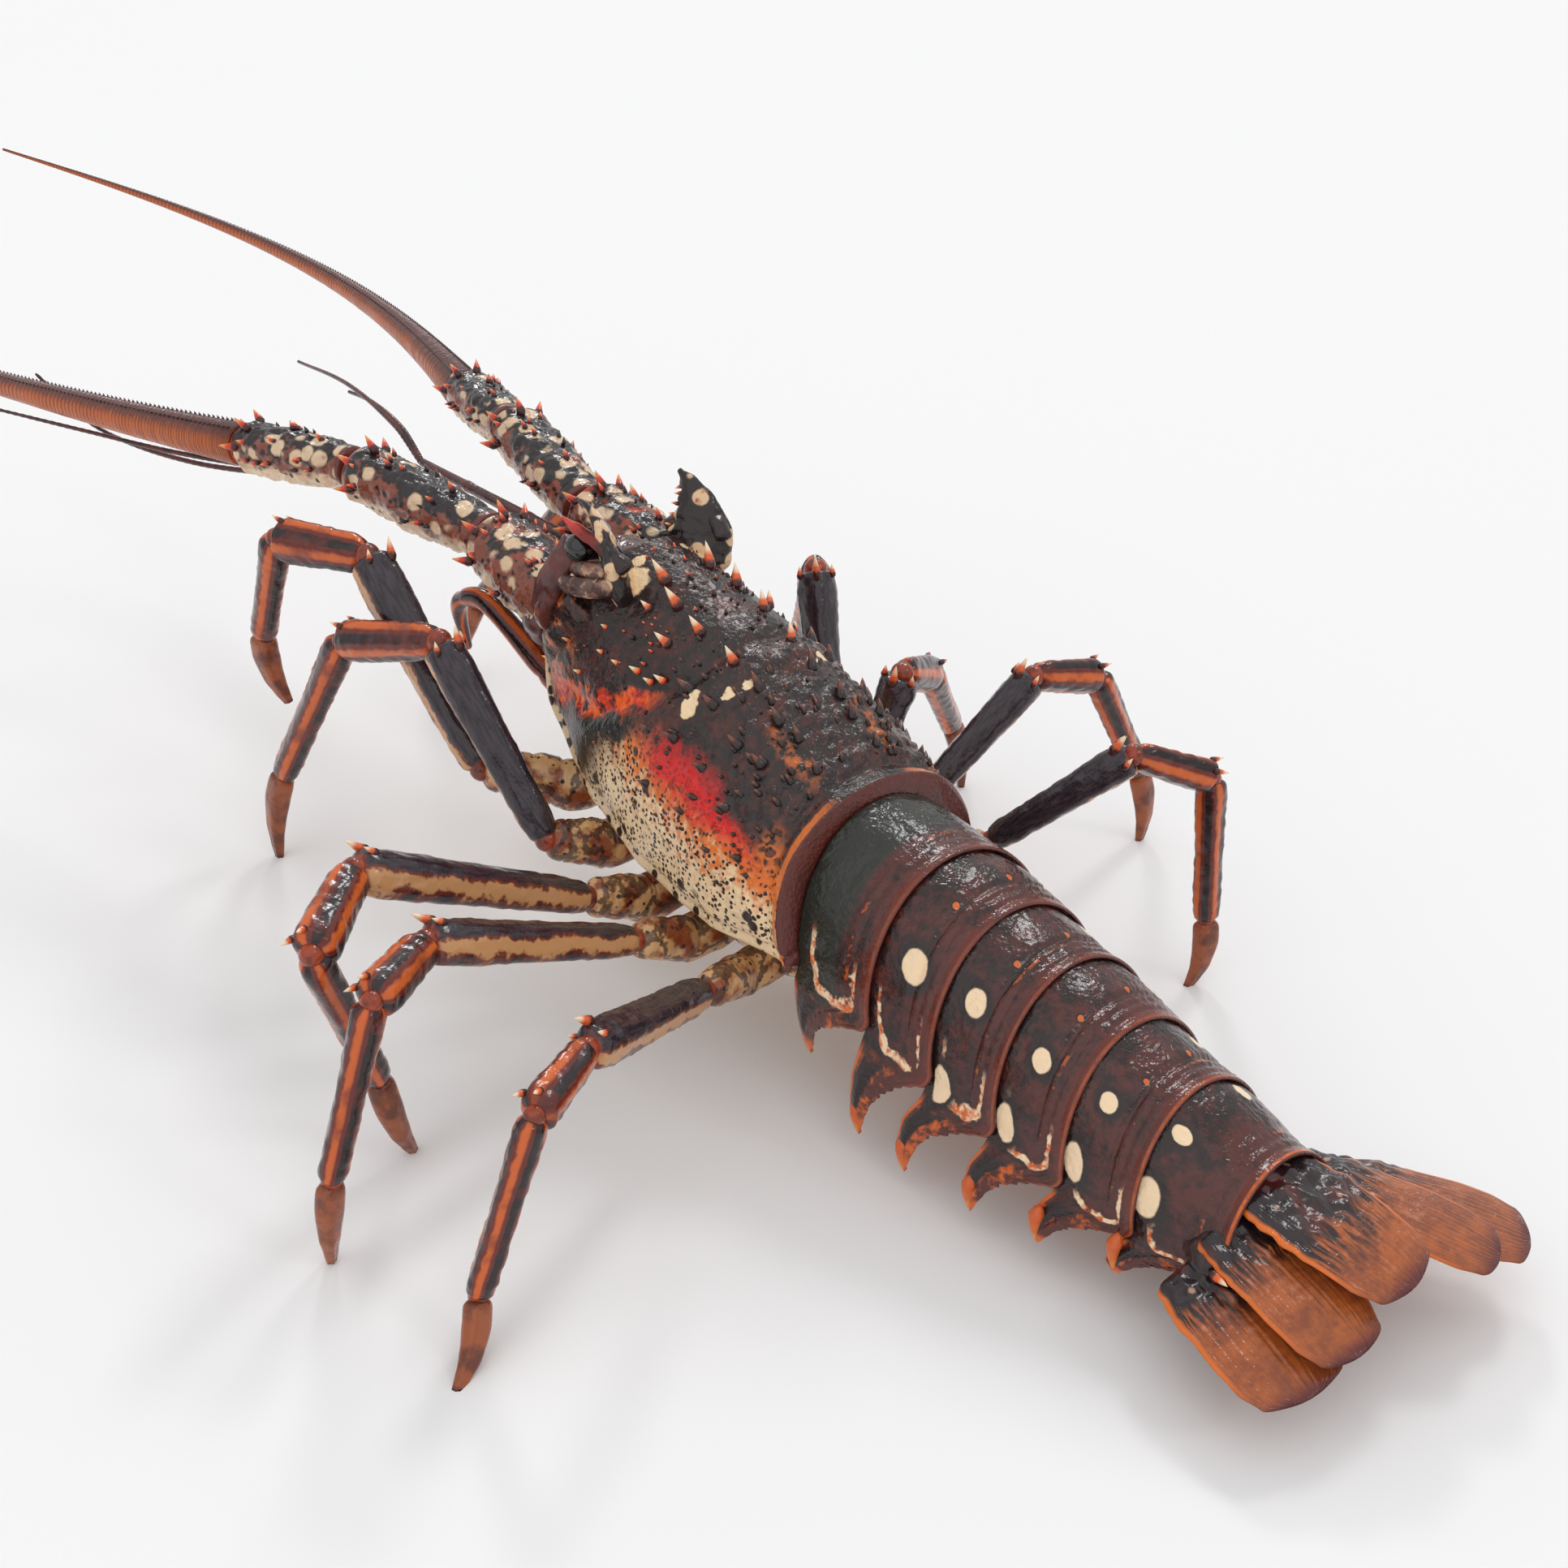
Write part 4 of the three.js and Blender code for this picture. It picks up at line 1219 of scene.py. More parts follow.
            limb.cast(moulding, 44, 30, finish, relief)
        brow = ThornFinish(
            "brow_red", root=tint(42, 28, 28), middle=tint(124, 32, 28), tip=tint(206, 60, 50))
        pale = MarbledFinish(
            "socket_folds", cream=tint(198, 156, 130), orange=tint(112, 70, 58), dark=tint(52, 36, 36),
            cream_share=0.55, dark_share=0.12)
        jaw = MarbledFinish(
            "cheek_marbling", cream=tint(220, 110, 44), orange=tint(84, 44, 36), dark=tint(34, 26, 26),
            cream_share=0.3, dark_share=0.34)
        moulding.piece(f"cheek_{side.word}_folds", (brow, pale, CUFF, jaw), [])

    def mouth_limb(self, side: Side) -> None:
        """A folded maxilliped under the head."""

        def relief(share: float, turn: float) -> float:
            """A groove at each joint."""
            return -0.5 * (bell(share, 0.3, 0.015) + bell(share, 0.72, 0.012))

        moulding = Moulding()
        Limb(side.stations(self.MOUTH), None, (0.4, 1.2)).cast(moulding, 70, 24, 0, relief)
        name = f"maxilliped_{side.word}"
        moulding.piece(f"{name}_folded", (StripedFinish("mouth_limb_stripes"),), [name])


@dataclass
class Antennae:
    """The two great antennae with their whips, and the thin antennules between them."""

    joints: Sequence[Point] = (
        (17.0, -94.0, 94.0), (16.0, -131.0, 102.0), (26.3, -182.0, 110.5), (38.0, -225.0, 108.6))
    radii: Sequence[Point] = ((10.5, 11.2, 9.4), (8.2, 8.8, 7.8), (7.2, 8.0, 7.2))
    spines: Sequence[int] = (5, 5, 4)
    ruddy: Sequence[float] = (0.42, 0.12, 0.1)
    seed: int = 20
    scattered: int = 26
    gap: float = 0.15
    whip_steps: int = 60
    whip_length: float = 300.0
    whip_radius: float = 6.6
    whip_tip: float = 0.5
    whip_rings: int = 170
    whip_teeth: int = 150

    PROFILE = ((0.0, 0, 0.86), (0.12, 0, 0.9), (0.2, 0, 0.98), (0.5, 1, 1.0), (0.85, 2, 1.08),
               (1.0, 2, 0.94))
    STALK = (((5.0, -117.0, 97.0), 2.4, 2.4), ((6.5, -150.0, 97.0), 1.85, 1.85),
             ((7.5, -204.0, 98.0), 1.3, 1.3))
    THREADS = {
        Side.LEFT: (
            ((7.5, -204, 98), (22, -232, 95), (42, -262, 97), (58, -292, 100), (76, -324, 104)),
            ((7.5, -204, 98), (20, -236, 92), (38, -268, 92), (52, -300, 98), (60, -322, 112))),
        Side.RIGHT: (
            ((-7.5, -204, 98), (-9, -216, 105), (-11, -236, 108), (-14, -256, 106)),
            ((-7.5, -204, 98), (-9, -220, 105), (-13, -254, 109), (-18, -296, 106))),
    }

    def make(self) -> None:
        """Builds the segments, whips and antennules of both sides."""
        for side in Side:
            for number in range(3):
                self.segment(side, number)
            self.whip(side)
            self.antennule(side)

    def segment(self, side: Side, number: int) -> None:
        """One thick segment, with a smooth cuff behind and a collar of spines in front."""
        start, end = (side.point(*joint) for joint in self.joints[number:number + 2])
        ahead = (end - start).normalized()
        start, end = start + ahead * self.gap, end - ahead * self.gap
        stations = []
        for place, index, share in self.PROFILE:
            size = self.radii[number][index] * share
            stations.append((mix(start, end, place), size, size * 0.94))
        limb = Limb(stations, None, (0.2, 0.35))

        def relief(share: float, turn: float) -> float:
            """Ridges, lumps and the raised collar."""
            spot = limb.point(share, turn)
            body = ease(0.12, 0.2, share) * (1.0 - ease(0.9, 0.97, share))
            ridges = 0.55 * math.cos(3.0 * turn + 0.6) * body
            lumps = body * (noise.noise(spot * 0.28) * 1.1 + noise.noise(spot * 0.8) * 0.4)
            return ridges + lumps + 0.7 * bell(share, 0.92, 0.025) - 0.7 * bell(share, 0.125, 0.02)

        moulding = Moulding()
        limb.cast(moulding, 90, 96, 0, relief)
        dice = random.Random(self.seed + number)
        for index in range(self.spines[number]):
            turn = math.pi + (index - (self.spines[number] - 1) / 2.0) * 0.85
            share = 0.9 if index % 2 else 0.86
            limb.spine(moulding, (share, turn), ahead * 1.2, 5.2, 1.5, 1, (9, 7), 0.2)
        for _ in range(self.scattered):
            spot = dice.uniform(0.22, 0.85), math.pi + dice.uniform(-1.9, 1.9)
            size = dice.uniform(1.0, 3.4)
            limb.spine(moulding, spot, ahead * 1.1, size, size * 0.36, 1 if size > 2.2 else 2, (7, 5))
        finish = AntennaFinish(f"antenna_shell_{number + 1}", ruddy=self.ruddy[number])
        name = f"antenna_{side.word}_segment_{number + 1}"
        moulding.piece(f"{name}_spiny", (finish, THORN_RED, THORN_DARK), [name])

    def whip_line(self, side: Side) -> list[Vector]:
        """The whip's centre line, in steps, from the last joint of the thick segments."""
        curl, lift = (-20.0, -16.0) if side is Side.LEFT else (-63.5, 14.3)
        step = self.whip_length / self.whip_steps
        points = [side.point(*self.joints[3])]
        for index in range(self.whip_steps):
            share = (index + 0.5) / self.whip_steps
            heading = math.radians(18.9 - 9.6 * share + curl * share * share)
            rise = math.radians(-0.4 + 6.1 * share + lift * share * share)
            flat = math.cos(rise)
            way = side.point(math.sin(heading) * flat, -math.cos(heading) * flat, math.sin(rise))
            points.append(points[-1] + way * step)
        return points

    def whip(self, side: Side) -> None:
        """The long ringed whip, saw-edged along its top."""
        stations = []
        for index, point in enumerate(self.whip_line(side)):
            size = mix(self.whip_radius, self.whip_tip, (index / self.whip_steps) ** 0.8)
            stations.append((point, size, size * 0.96))
        limb = Limb(stations, None, (0.15, 1.0))

        def relief(share: float, turn: float) -> float:
            """Fine rings, and a low ridge on each side."""
            saw = (share * self.whip_rings) % 1.0
            size = along(limb.wide, share)
            return size * (0.05 * saw - 0.03 * abs(math.cos(turn)) ** 6)

        moulding = Moulding()
        limb.cast(moulding, self.whip_rings * 4, 16, 0, relief)
        for index in range(self.whip_teeth):
            share = 0.01 + 0.93 * index / self.whip_teeth
            size = along(limb.wide, share)
            ahead = (limb.centre(min(1.0, share + 0.01)) - limb.centre(share)).normalized()
            for turn in (math.pi - 0.45, math.pi + 0.45):
                limb.spine(moulding, (share, turn), ahead * 0.9, size * 0.2, size * 0.09, 1, (4, 3))
        name = f"antenna_{side.word}"
        names = [f"{name}_flagellum_near", f"{name}_flagellum_far"]
        moulding.piece(f"{name}_whip", (FeelerFinish("feeler_rings"), THORN_DARK), names)

    def antennule(self, side: Side) -> None:
        """A thin stalk in three joints with two threads."""

        def collars(share: float, turn: float) -> float:
            """A raised ring at each joint."""
            return 0.25 * bell(share, 0.34, 0.02) + 0.25 * bell(share, 0.7, 0.02)

        def rings(share: float, turn: float) -> float:
            """Fine rings."""
            return 0.06 * math.sin(share * 320.0)

        moulding = Moulding()
        Limb(side.stations(self.STALK), None, (0.4, 0.6)).cast(moulding, 80, 14, 0, collars)
        for run in self.THREADS[side]:
            sizes = [mix(1.1, 0.5, index / (len(run) - 1)) for index in range(len(run))]
            stations = [(Vector(point), size, size) for point, size in zip(run, sizes)]
            Limb(stations, None, (0.4, 1.0)).cast(moulding, 200, 10, 0, rings)
        finish = PlainFinish(
            "antennule_shell", first=tint(96, 50, 48), second=tint(52, 30, 34), tip=tint(60, 34, 36))
        name = f"antennule_{side.word}"
        moulding.piece(f"{name}_threads", (finish,), [name])


@dataclass
class Leg:
    """One walking leg, from its coxa to its claw."""

    side: Side
    number: int
    joints: Sequence[Point]
    thickness: float

    ROOT = ((0.35, 6.0), (0.8, 5.2), (1.0, 4.4))
    MERUS = ((0.0, 3.9), (0.14, 4.8), (0.5, 5.2), (0.86, 5.9), (0.95, 5.6), (1.0, 4.6))
    CARPUS = ((0.0, 4.1), (0.2, 4.6), (0.8, 5.3), (0.93, 5.1), (1.0, 4.2))
    PROPODUS = ((0.0, 4.0), (0.1, 4.4), (0.5, 3.9), (0.9, 3.9), (1.0, 3.5))
    DACTYL = ((0.0, 3.4), (0.12, 3.8), (0.3, 3.8), (0.6, 3.0), (0.8, 2.1), (1.0, 1.2))

    def make(self) -> None:
        """Builds the upper and the lower half of the leg."""
        points = [Vector(joint) for joint in self.joints]
        hinge = self.hinge(points)
        self.thigh(points, hinge)
        self.shin(points, hinge)

    def hinge(self, points: Sequence[Vector]) -> Vector:
        """The way that the leg's joints turn about, so that its sections stand upright."""
        hinge = (points[2] - points[1]).cross(points[3] - points[2])
        if hinge.length < 1.0:
            hinge = (points[2] - points[1]).cross(UP)
        hinge.normalize()
        if hinge.cross(points[2] - points[1]).z < 0.0:
            hinge.negate()
        return hinge

    def thigh(self, points: Sequence[Vector], hinge: Vector) -> None:
        """Builds the upper half: the root, the thigh and the spines around its end."""
        upper = Moulding()
        self.root(upper, points[0], points[1])
        merus = self.part(upper, points[1], points[2], self.MERUS, hinge, 0, 0.7)
        self.knuckle(upper, points[1], 4.6, 2)
        self.knuckle(upper, points[2], 4.9, 2)
        root = merus.point(0.93, math.pi)
        ahead = (points[2] - points[1]).normalized()
        way = (ahead * 1.3 + merus.outward(0.93, math.pi) * 0.5).normalized()
        upper.thorn(root, root + way * 6.0, 1.5, 3, None, 9, 7)
        for turn in (math.pi - 1.1, math.pi + 1.1):
            root = merus.point(0.95, turn)
            upper.thorn(root, root + way * 3.2, 1.1, 3, None, 8, 6)
        name = f"leg_{self.side.word}_{self.number}"
        banded = MarbledFinish(
            "leg_root_bands", cream=tint(216, 170, 118), orange=tint(142, 72, 42), dark=tint(52, 32, 32),
            cream_share=0.7, dark_share=0.2)
        finishes = (LegFinish("leg_purple_black"), banded, KNUCKLE, THORN_BRIGHT)
        upper.piece(f"{name}_thigh", finishes, [f"{name}_upper"])

    def shin(self, points: Sequence[Vector], hinge: Vector) -> None:
        """Builds the lower half: the two lower segments and the claw."""
        lower = Moulding()
        carpus = self.part(lower, points[2], points[3], self.CARPUS, hinge, 0, 0.6)
        self.part(lower, points[3], points[4], self.PROPODUS, hinge, 0, 0.5)
        self.knuckle(lower, points[3], 4.1, 2)
        self.knuckle(lower, points[4], 3.6, 2)
        self.claw(lower, points[4], points[5], points[3], hinge)
        ahead = (points[3] - points[2]).normalized()
        for turn in (math.pi - 0.5, math.pi + 0.5):
            carpus.spine(lower, (0.9, turn), ahead * 2.0, 3.4, 1.0, 3)
        name = f"leg_{self.side.word}_{self.number}"
        claw = PlainFinish(
            "claw_brown", first=tint(158, 82, 44), second=tint(104, 52, 34), tip=tint(70, 32, 22))
        finishes = (StripedFinish("leg_stripes"), claw, KNUCKLE, THORN_BRIGHT)
        lower.piece(f"{name}_shin", finishes, [f"{name}_lower"])

    def root(self, moulding: Moulding, start: Vector, end: Vector) -> None:
        """Adds the short banded segments that join the leg to the breast.

        Args:
            moulding: what they are added to.
            start: the joint at the body.
            end: the joint that the thigh starts from.
        """
        breast = Vector((start.x * 0.45, start.y + 2.0, start.z + 3.0))
        run = [(breast, 6.6), (start, 6.4), *((mix(start, end, share), size) for share, size in self.ROOT)]
        stations = [(centre, size * self.thickness * 0.92, size * self.thickness) for centre, size in run]
        limb = Limb(stations, None, (0.3, 0.6))

        def relief(share: float, turn: float) -> float:
            """Grooves between the short segments."""
            cut = 0.6 * (bell(share, 0.5, 0.014) + bell(share, 0.68, 0.014) + bell(share, 0.86, 0.014))
            return noise.noise(limb.point(share, turn) * 0.25) * 0.5 - cut

        limb.cast(moulding, 60, 36, 1, relief)

    def part(self, moulding: Moulding, start: Vector, end: Vector, shape: Pairs, hinge: Vector,
             finish: int, ridge: float) -> Limb:
        """Adds one segment between two joints.

        Args:
            moulding: what it is added to.
            start: the joint nearer the body.
            end: the joint nearer the claw.
            shape: half the height along it.
            hinge: the way that its joints turn about.
            finish: which of the piece's finishes it has.
            ridge: how high its lengthwise ridges stand.

        Returns:
            The run, so that spines can be put on it.
        """
        stations = []
        for place, size in shape:
            tall = size * self.thickness
            stations.append((mix(start, end, place), tall * 0.86, tall))
        limb = Limb(stations, hinge, (0.8, 0.55))

        def relief(share: float, turn: float) -> float:
            """Ridges along the segment and small pits."""
            spot = limb.point(share, turn)
            body = ease(0.04, 0.2, share) * (1.0 - ease(0.86, 0.98, share))
            return ridge * body * 0.5 * math.cos(4.0 * turn) + noise.noise(spot * 0.45) * 0.35

        limb.cast(moulding, 48, 40, finish, relief)
        return limb

    def knuckle(self, moulding: Moulding, centre: Vector, size: float, finish: int) -> None:
        """Adds the bare skin inside a joint, as a small ball."""
        reach = size * self.thickness * 0.66
        moulding.skin(16, 20, lambda length, girth: centre + ball(length, girth) * reach, finish)

    def claw(self, moulding: Moulding, start: Vector, end: Vector, before: Vector,
             hinge: Vector) -> None:
        """Adds the claw, bowed outwards and flattened where its tip meets the floor."""
        ahead = (end - start).normalized()
        out = hinge.cross(ahead)
        if out.dot(before - start) > 0.0 and abs(ahead.dot((start - before).normalized())) < 0.95:
            out.negate()
        tip = end
        if abs(end.z) < 0.01:
            tip = end - UP * 0.9
        stations = []
        for place, size in self.DACTYL:
            tall = size * self.thickness
            bow = out * (2.2 * math.sin(math.pi * place))
            stations.append((mix(start, tip, place) + bow, tall * 0.8, tall))
        limb = Limb(stations, hinge, (0.7, 0.5))
        limb.cast(moulding, 50, 28, 1, lambda share, turn: 0.16 * math.cos(5.0 * turn), True)


@dataclass
class Legs:
    """The ten walking legs, in the stance of the photograph."""

    thickness: Sequence[float] = (1.12, 1.06, 1.0, 0.95, 0.9)

    STANCES = {
        Side.LEFT: (
            ((24, -86, 48), (44, -101, 54), (45, -147, 100),
             (57, -174, 100), (55, -196, 63), (51, -194, 40)),
            ((27, -69, 39), (44, -73, 45), (50, -106, 91),
             (59, -140, 82), (65, -175, 29), (68, -180, 0)),
            ((29, -51, 32), (48, -51, 40), (109, -51, 74),
             (130, -33, 71), (114, -43, 24), (108, -42, 0)),
            ((29, -34, 28), (48, -32, 37), (105, -30, 64),
             (126, -17, 66), (139, -21, 23), (141, -23, 0)),
            ((26, -16, 26), (46, -8, 34), (92, 9, 51),
             (113, 20, 52), (129, 18, 12), (141, 26, 0))),
        Side.RIGHT: (
            ((-24, -86, 48), (-42, -103, 54), (-50, -160, 86),
             (-52, -188, 78), (-40, -232, 32), (-36, -246, 0)),
            ((-27, -69, 39), (-46, -64, 47), (-61, -86, 85),
             (-81, -108, 67), (-109, -146, 25), (-117, -156, 0)),
            ((-29, -51, 32), (-44, -46, 44), (-53, -43, 71),
             (-76, -54, 59), (-107, -73, 24), (-113, -73, 0)),
            ((-29, -34, 28), (-46, -30, 38), (-81, -21, 69),
             (-105, -18, 62), (-128, -17, 23), (-129, -15, 0)),
            ((-26, -16, 27), (-41, 2, 44), (-62, 28, 72),
             (-82, 38, 62), (-85, 40, 19), (-80, 40, 0))),
    }

    def make(self) -> None:
        """Builds all ten legs."""
        for side, stances in self.STANCES.items():
            for number, (joints, thickness) in enumerate(zip(stances, self.thickness), 1):
                Leg(side, number, joints, thickness).make()


@dataclass
class Tail:
    """The six rings of the tail, each with its side plates, and the fan behind them."""

    edges: Sequence[float] = (0.8, 24.0, 42.5, 60.5, 78.5, 96.5, 117.0)
    back_z: Pairs = ((0.0, 73.0), (24.0, 68.0), (60.0, 57.0), (96.0, 45.0), (117.0, 37.0))
    back_x: Pairs = ((0.0, 0.0), (96.0, 0.0), (117.0, -1.0))
    half_width: Pairs = ((0.0, 29.5), (24.0, 30.0), (60.0, 27.0), (96.0, 23.0), (117.0, 19.0))
    height: Pairs = ((0.0, 30.0), (24.0, 30.0), (60.0, 28.0), (96.0, 24.0), (117.0, 18.0))
    belly: float = 7.0
    lean: float = 0.14
    dome: float = 0.6
    wall: float = 0.9
    inset: Pairs = ((0.0, 0.958), (0.4, 0.985), (1.0, 1.0))
    tips: Sequence[Point] = (
        (27, 8, 15), (31, 29, 5.5), (31, 44, 4), (30.5, 64, 5.5), (29, 82, 8), (27, 101, 12))
    spots: Sequence[Point] = (
        (0.5, 2.0, 0.1), (0.54, 0.345, 0.17), (0.42, 0.3, 0.145),
        (0.46, 0.31, 0.125), (0.36, 0.265, 0.115), (0.22, 0.19, 0.11))
    drops: Sequence[Point] = (
        (0.5, 2.0, 0.1), (0.5, 2.0, 0.1), (0.22, 0.6, 0.14),
        (0.2, 0.56, 0.14), (0.18, 0.51, 0.14), (0.14, 0.45, 0.15))
    edging: Sequence[float] = (0.3, 0.3, 0.35, 0.45, 0.55, 1.0)

    SWIMMERET = (((14, 2, 2), 2.0, 1.2), ((13, 5, -4), 5.4, 0.8), ((11, 9, -9), 3.0, 0.6))

    def tip(self, number: int, side: float) -> Vector:
        """The point of a ring's side plate."""
        x, y, z = self.tips[number]
        return Vector((x * side + along(self.back_x, y), y, z))

    def ring_point(self, number: int, length: float, girth: float) -> Vector:
        """A point of a ring's outer face.

        Args:
            number: which ring, from 0.
            length: share from its front edge to its rear edge.
            girth: share from the right side plate's tip over the back to the left one's.

        Returns:
            The point, with the ring's relief.
        """
        front, rear = self.edges[number] + 0.2, self.edges[number + 1] + 1.8
        out = (girth - 0.5) * 2.0
        side = math.copysign(1.0, out)
        out = abs(out)
        y = mix(front, rear, length)
        scale = along(self.inset, length)
        turn = min(1.0, out / self.dome) * math.pi / 2.0
        wide = along(self.half_width, y) * scale
        height = along(self.height, y)
        drop = height * (1.0 - math.cos(turn))
        top = along(self.back_z, y) - height * (1.0 - scale) * 0.8
        across = along(self.back_x, y) + side * math.sin(turn) * wide
        spot = Vector((across, y + self.lean * drop, top - drop))
        lift = self.ring_relief(number, length, out, spot)
        spot += Vector((side * math.sin(turn), 0.0, math.cos(turn))) * lift
        if out > self.dome:
            spot = self.plate_point(number, length, (out - self.dome) / (1.0 - self.dome), side, spot)
        return spot

    def ring_relief(self, number: int, length: float, out: float, spot: Vector) -> float:
        """How far a ring stands out: a cross groove, a raised rear rim and small pits."""
        rim = 0.16 * bell(length, 0.96, 0.05) - 0.3 * bell(length, 0.88, 0.03)
        rim -= 0.3 * bell(length, 0.76, 0.03)
        groove = -0.8 * bell(length, 0.62, 0.04) * (1.0 - ease(0.5, 0.62, out))
        if number in (0, 5):
            groove *= 0.2
        pits = noise.noise(spot * 0.9) * 0.16 + noise.noise(spot * 0.2) * 0.25
        return rim + groove + pits * (1.0 - ease(0.84, 0.9, length))

    def plate_point(self, number: int, length: float, down: float, side: float, root: Vector) -> Vector:
        """A point of the side plate that hangs from a ring and ends in a spine.

        Args:
            number: which ring, from 0.
            length: share from the plate's front edge to its rear edge.
            down: share from its root to its tip.
            side: 1 on the left and -1 on the right.
            root: the point of the ring above it.

        Returns:
            The point.
        """
        tip = self.tip(number, side)
        front = self.edges[number] + 3.9
        rear = self.edges[number + 1] + 4.6
        ahead = along((
            (0.0, front), (0.2, front - 0.4), (0.5, mix(front, tip.y - 3.2, 0.75)),
            (0.75, tip.y - 2.6), (0.92, tip.y - 1.0), (1.0, tip.y)), down)
        behind = along((
            (0.0, rear), (0.1, rear - 1.0), (0.2, mix(rear, tip.y, 0.28)), (0.32, mix(rear, tip.y, 0.5)),
            (0.45, tip.y + 5.6), (0.64, tip.y + 3.2), (0.84, tip.y + 1.5), (1.0, tip.y)), down)
        teeth = ease(0.06, 0.14, down) * (1.0 - ease(0.46, 0.6, down))
        saw = 1.5 * abs(((down * 15.0) % 1.0) - 0.5) * teeth
        y = mix(ahead, behind + saw, length)
        blend = ease(0.0, 0.25, down)
        y = mix(root.y, y, blend)
        z = mix(root.z, tip.z, down)
        bulge = side * 2.2 * math.sin(math.pi * down) * (0.6 + 0.4 * math.sin(math.pi * length))
        fold = side * (-0.9 * bell(length, 0.55, 0.12) * math.sin(math.pi * min(1.0, down * 1.4)))
        x = mix(root.x, tip.x, ease(0.0, 1.0, down)) + bulge + fold
        return Vector((x, y, z))

    def make(self) -> None:
        """Builds the rings, the belly under them and the fan."""
        for number in range(6):
            self.ring(number)
        self.underside()
        Fan().make()

    def ring(self, number: int) -> None:
        """One ring with its two side plates."""
        moulding = Moulding()
        moulding.skin(44, 300, lambda length, girth: self.ring_point(number, length, girth), 0, UP)
        for side in Side:
            tip = self.tip(number, side.value)
            root = tip + side.point(-0.5, -0.5, 8.5)
            moulding.thorn(root, tip, 1.9, 1, side.point(0.6, -0.5, 0.0), 10, 8)
        small = (0.56, 0.12, 0.036) if 0 < number < 5 else (0.5, 2.0, 0.1)
        name = f"tail_ring_{number + 1}"
        finish = RingFinish(
            f"{name}_shell", spot=self.spots[number], drop=self.drops[number], small=small,
            first=number == 0, edging=self.edging[number])
        point = ThornFinish(
            "side_plate_tip", root=tint(206, 92, 36), middle=tint(216, 104, 40), tip=tint(232, 140, 60))
        moulding.piece(f"{name}_with_side_plates", (finish, point), [name], self.wall)

    def underside(self) -> None:
        """The soft ribbed belly and the swimmerets that hang from it."""
        moulding = Moulding()
        stations = []
        for y in (2.0, 24.0, 60.0, 90.0, 104.0):
            height = along(self.height, y)
            centre = Vector((along(self.back_x, y), y + self.lean * height, along(self.back_z, y) - height))
            stations.append((centre, along(self.half_width, y) - 2.5, self.belly))
        limb = Limb(stations, ACROSS, (0.15, 0.15))
        limb.cast(moulding, 90, 40, 0, lambda share, turn: 0.8 * math.sin(share * 46.0))
        for number in range(1, 5):
            middle = (self.edges[number] + self.edges[number + 1]) / 2.0 + 4.0
            under = along(self.back_z, middle) - along(self.height, middle) - self.belly
            for side in Side:
                rows = [((x, middle + y, max(1.0, under + z)), wide, tall)
                        for (x, y, z), wide, tall in self.SWIMMERET]
                Limb(side.stations(rows), ACROSS, (0.6, 0.6)).cast(moulding, 16, 20, 1)
        belly = PlainFinish(
            "belly_skin", first=tint(226, 190, 160), second=tint(200, 130, 96), tip=tint(220, 180, 150))
        flap = PlainFinish(
            "swimmeret_skin", first=tint(214, 120, 60), second=tint(120, 52, 38), tip=tint(120, 50, 36))
        moulding.piece("tail_belly_and_swimmerets", (belly, flap), [])


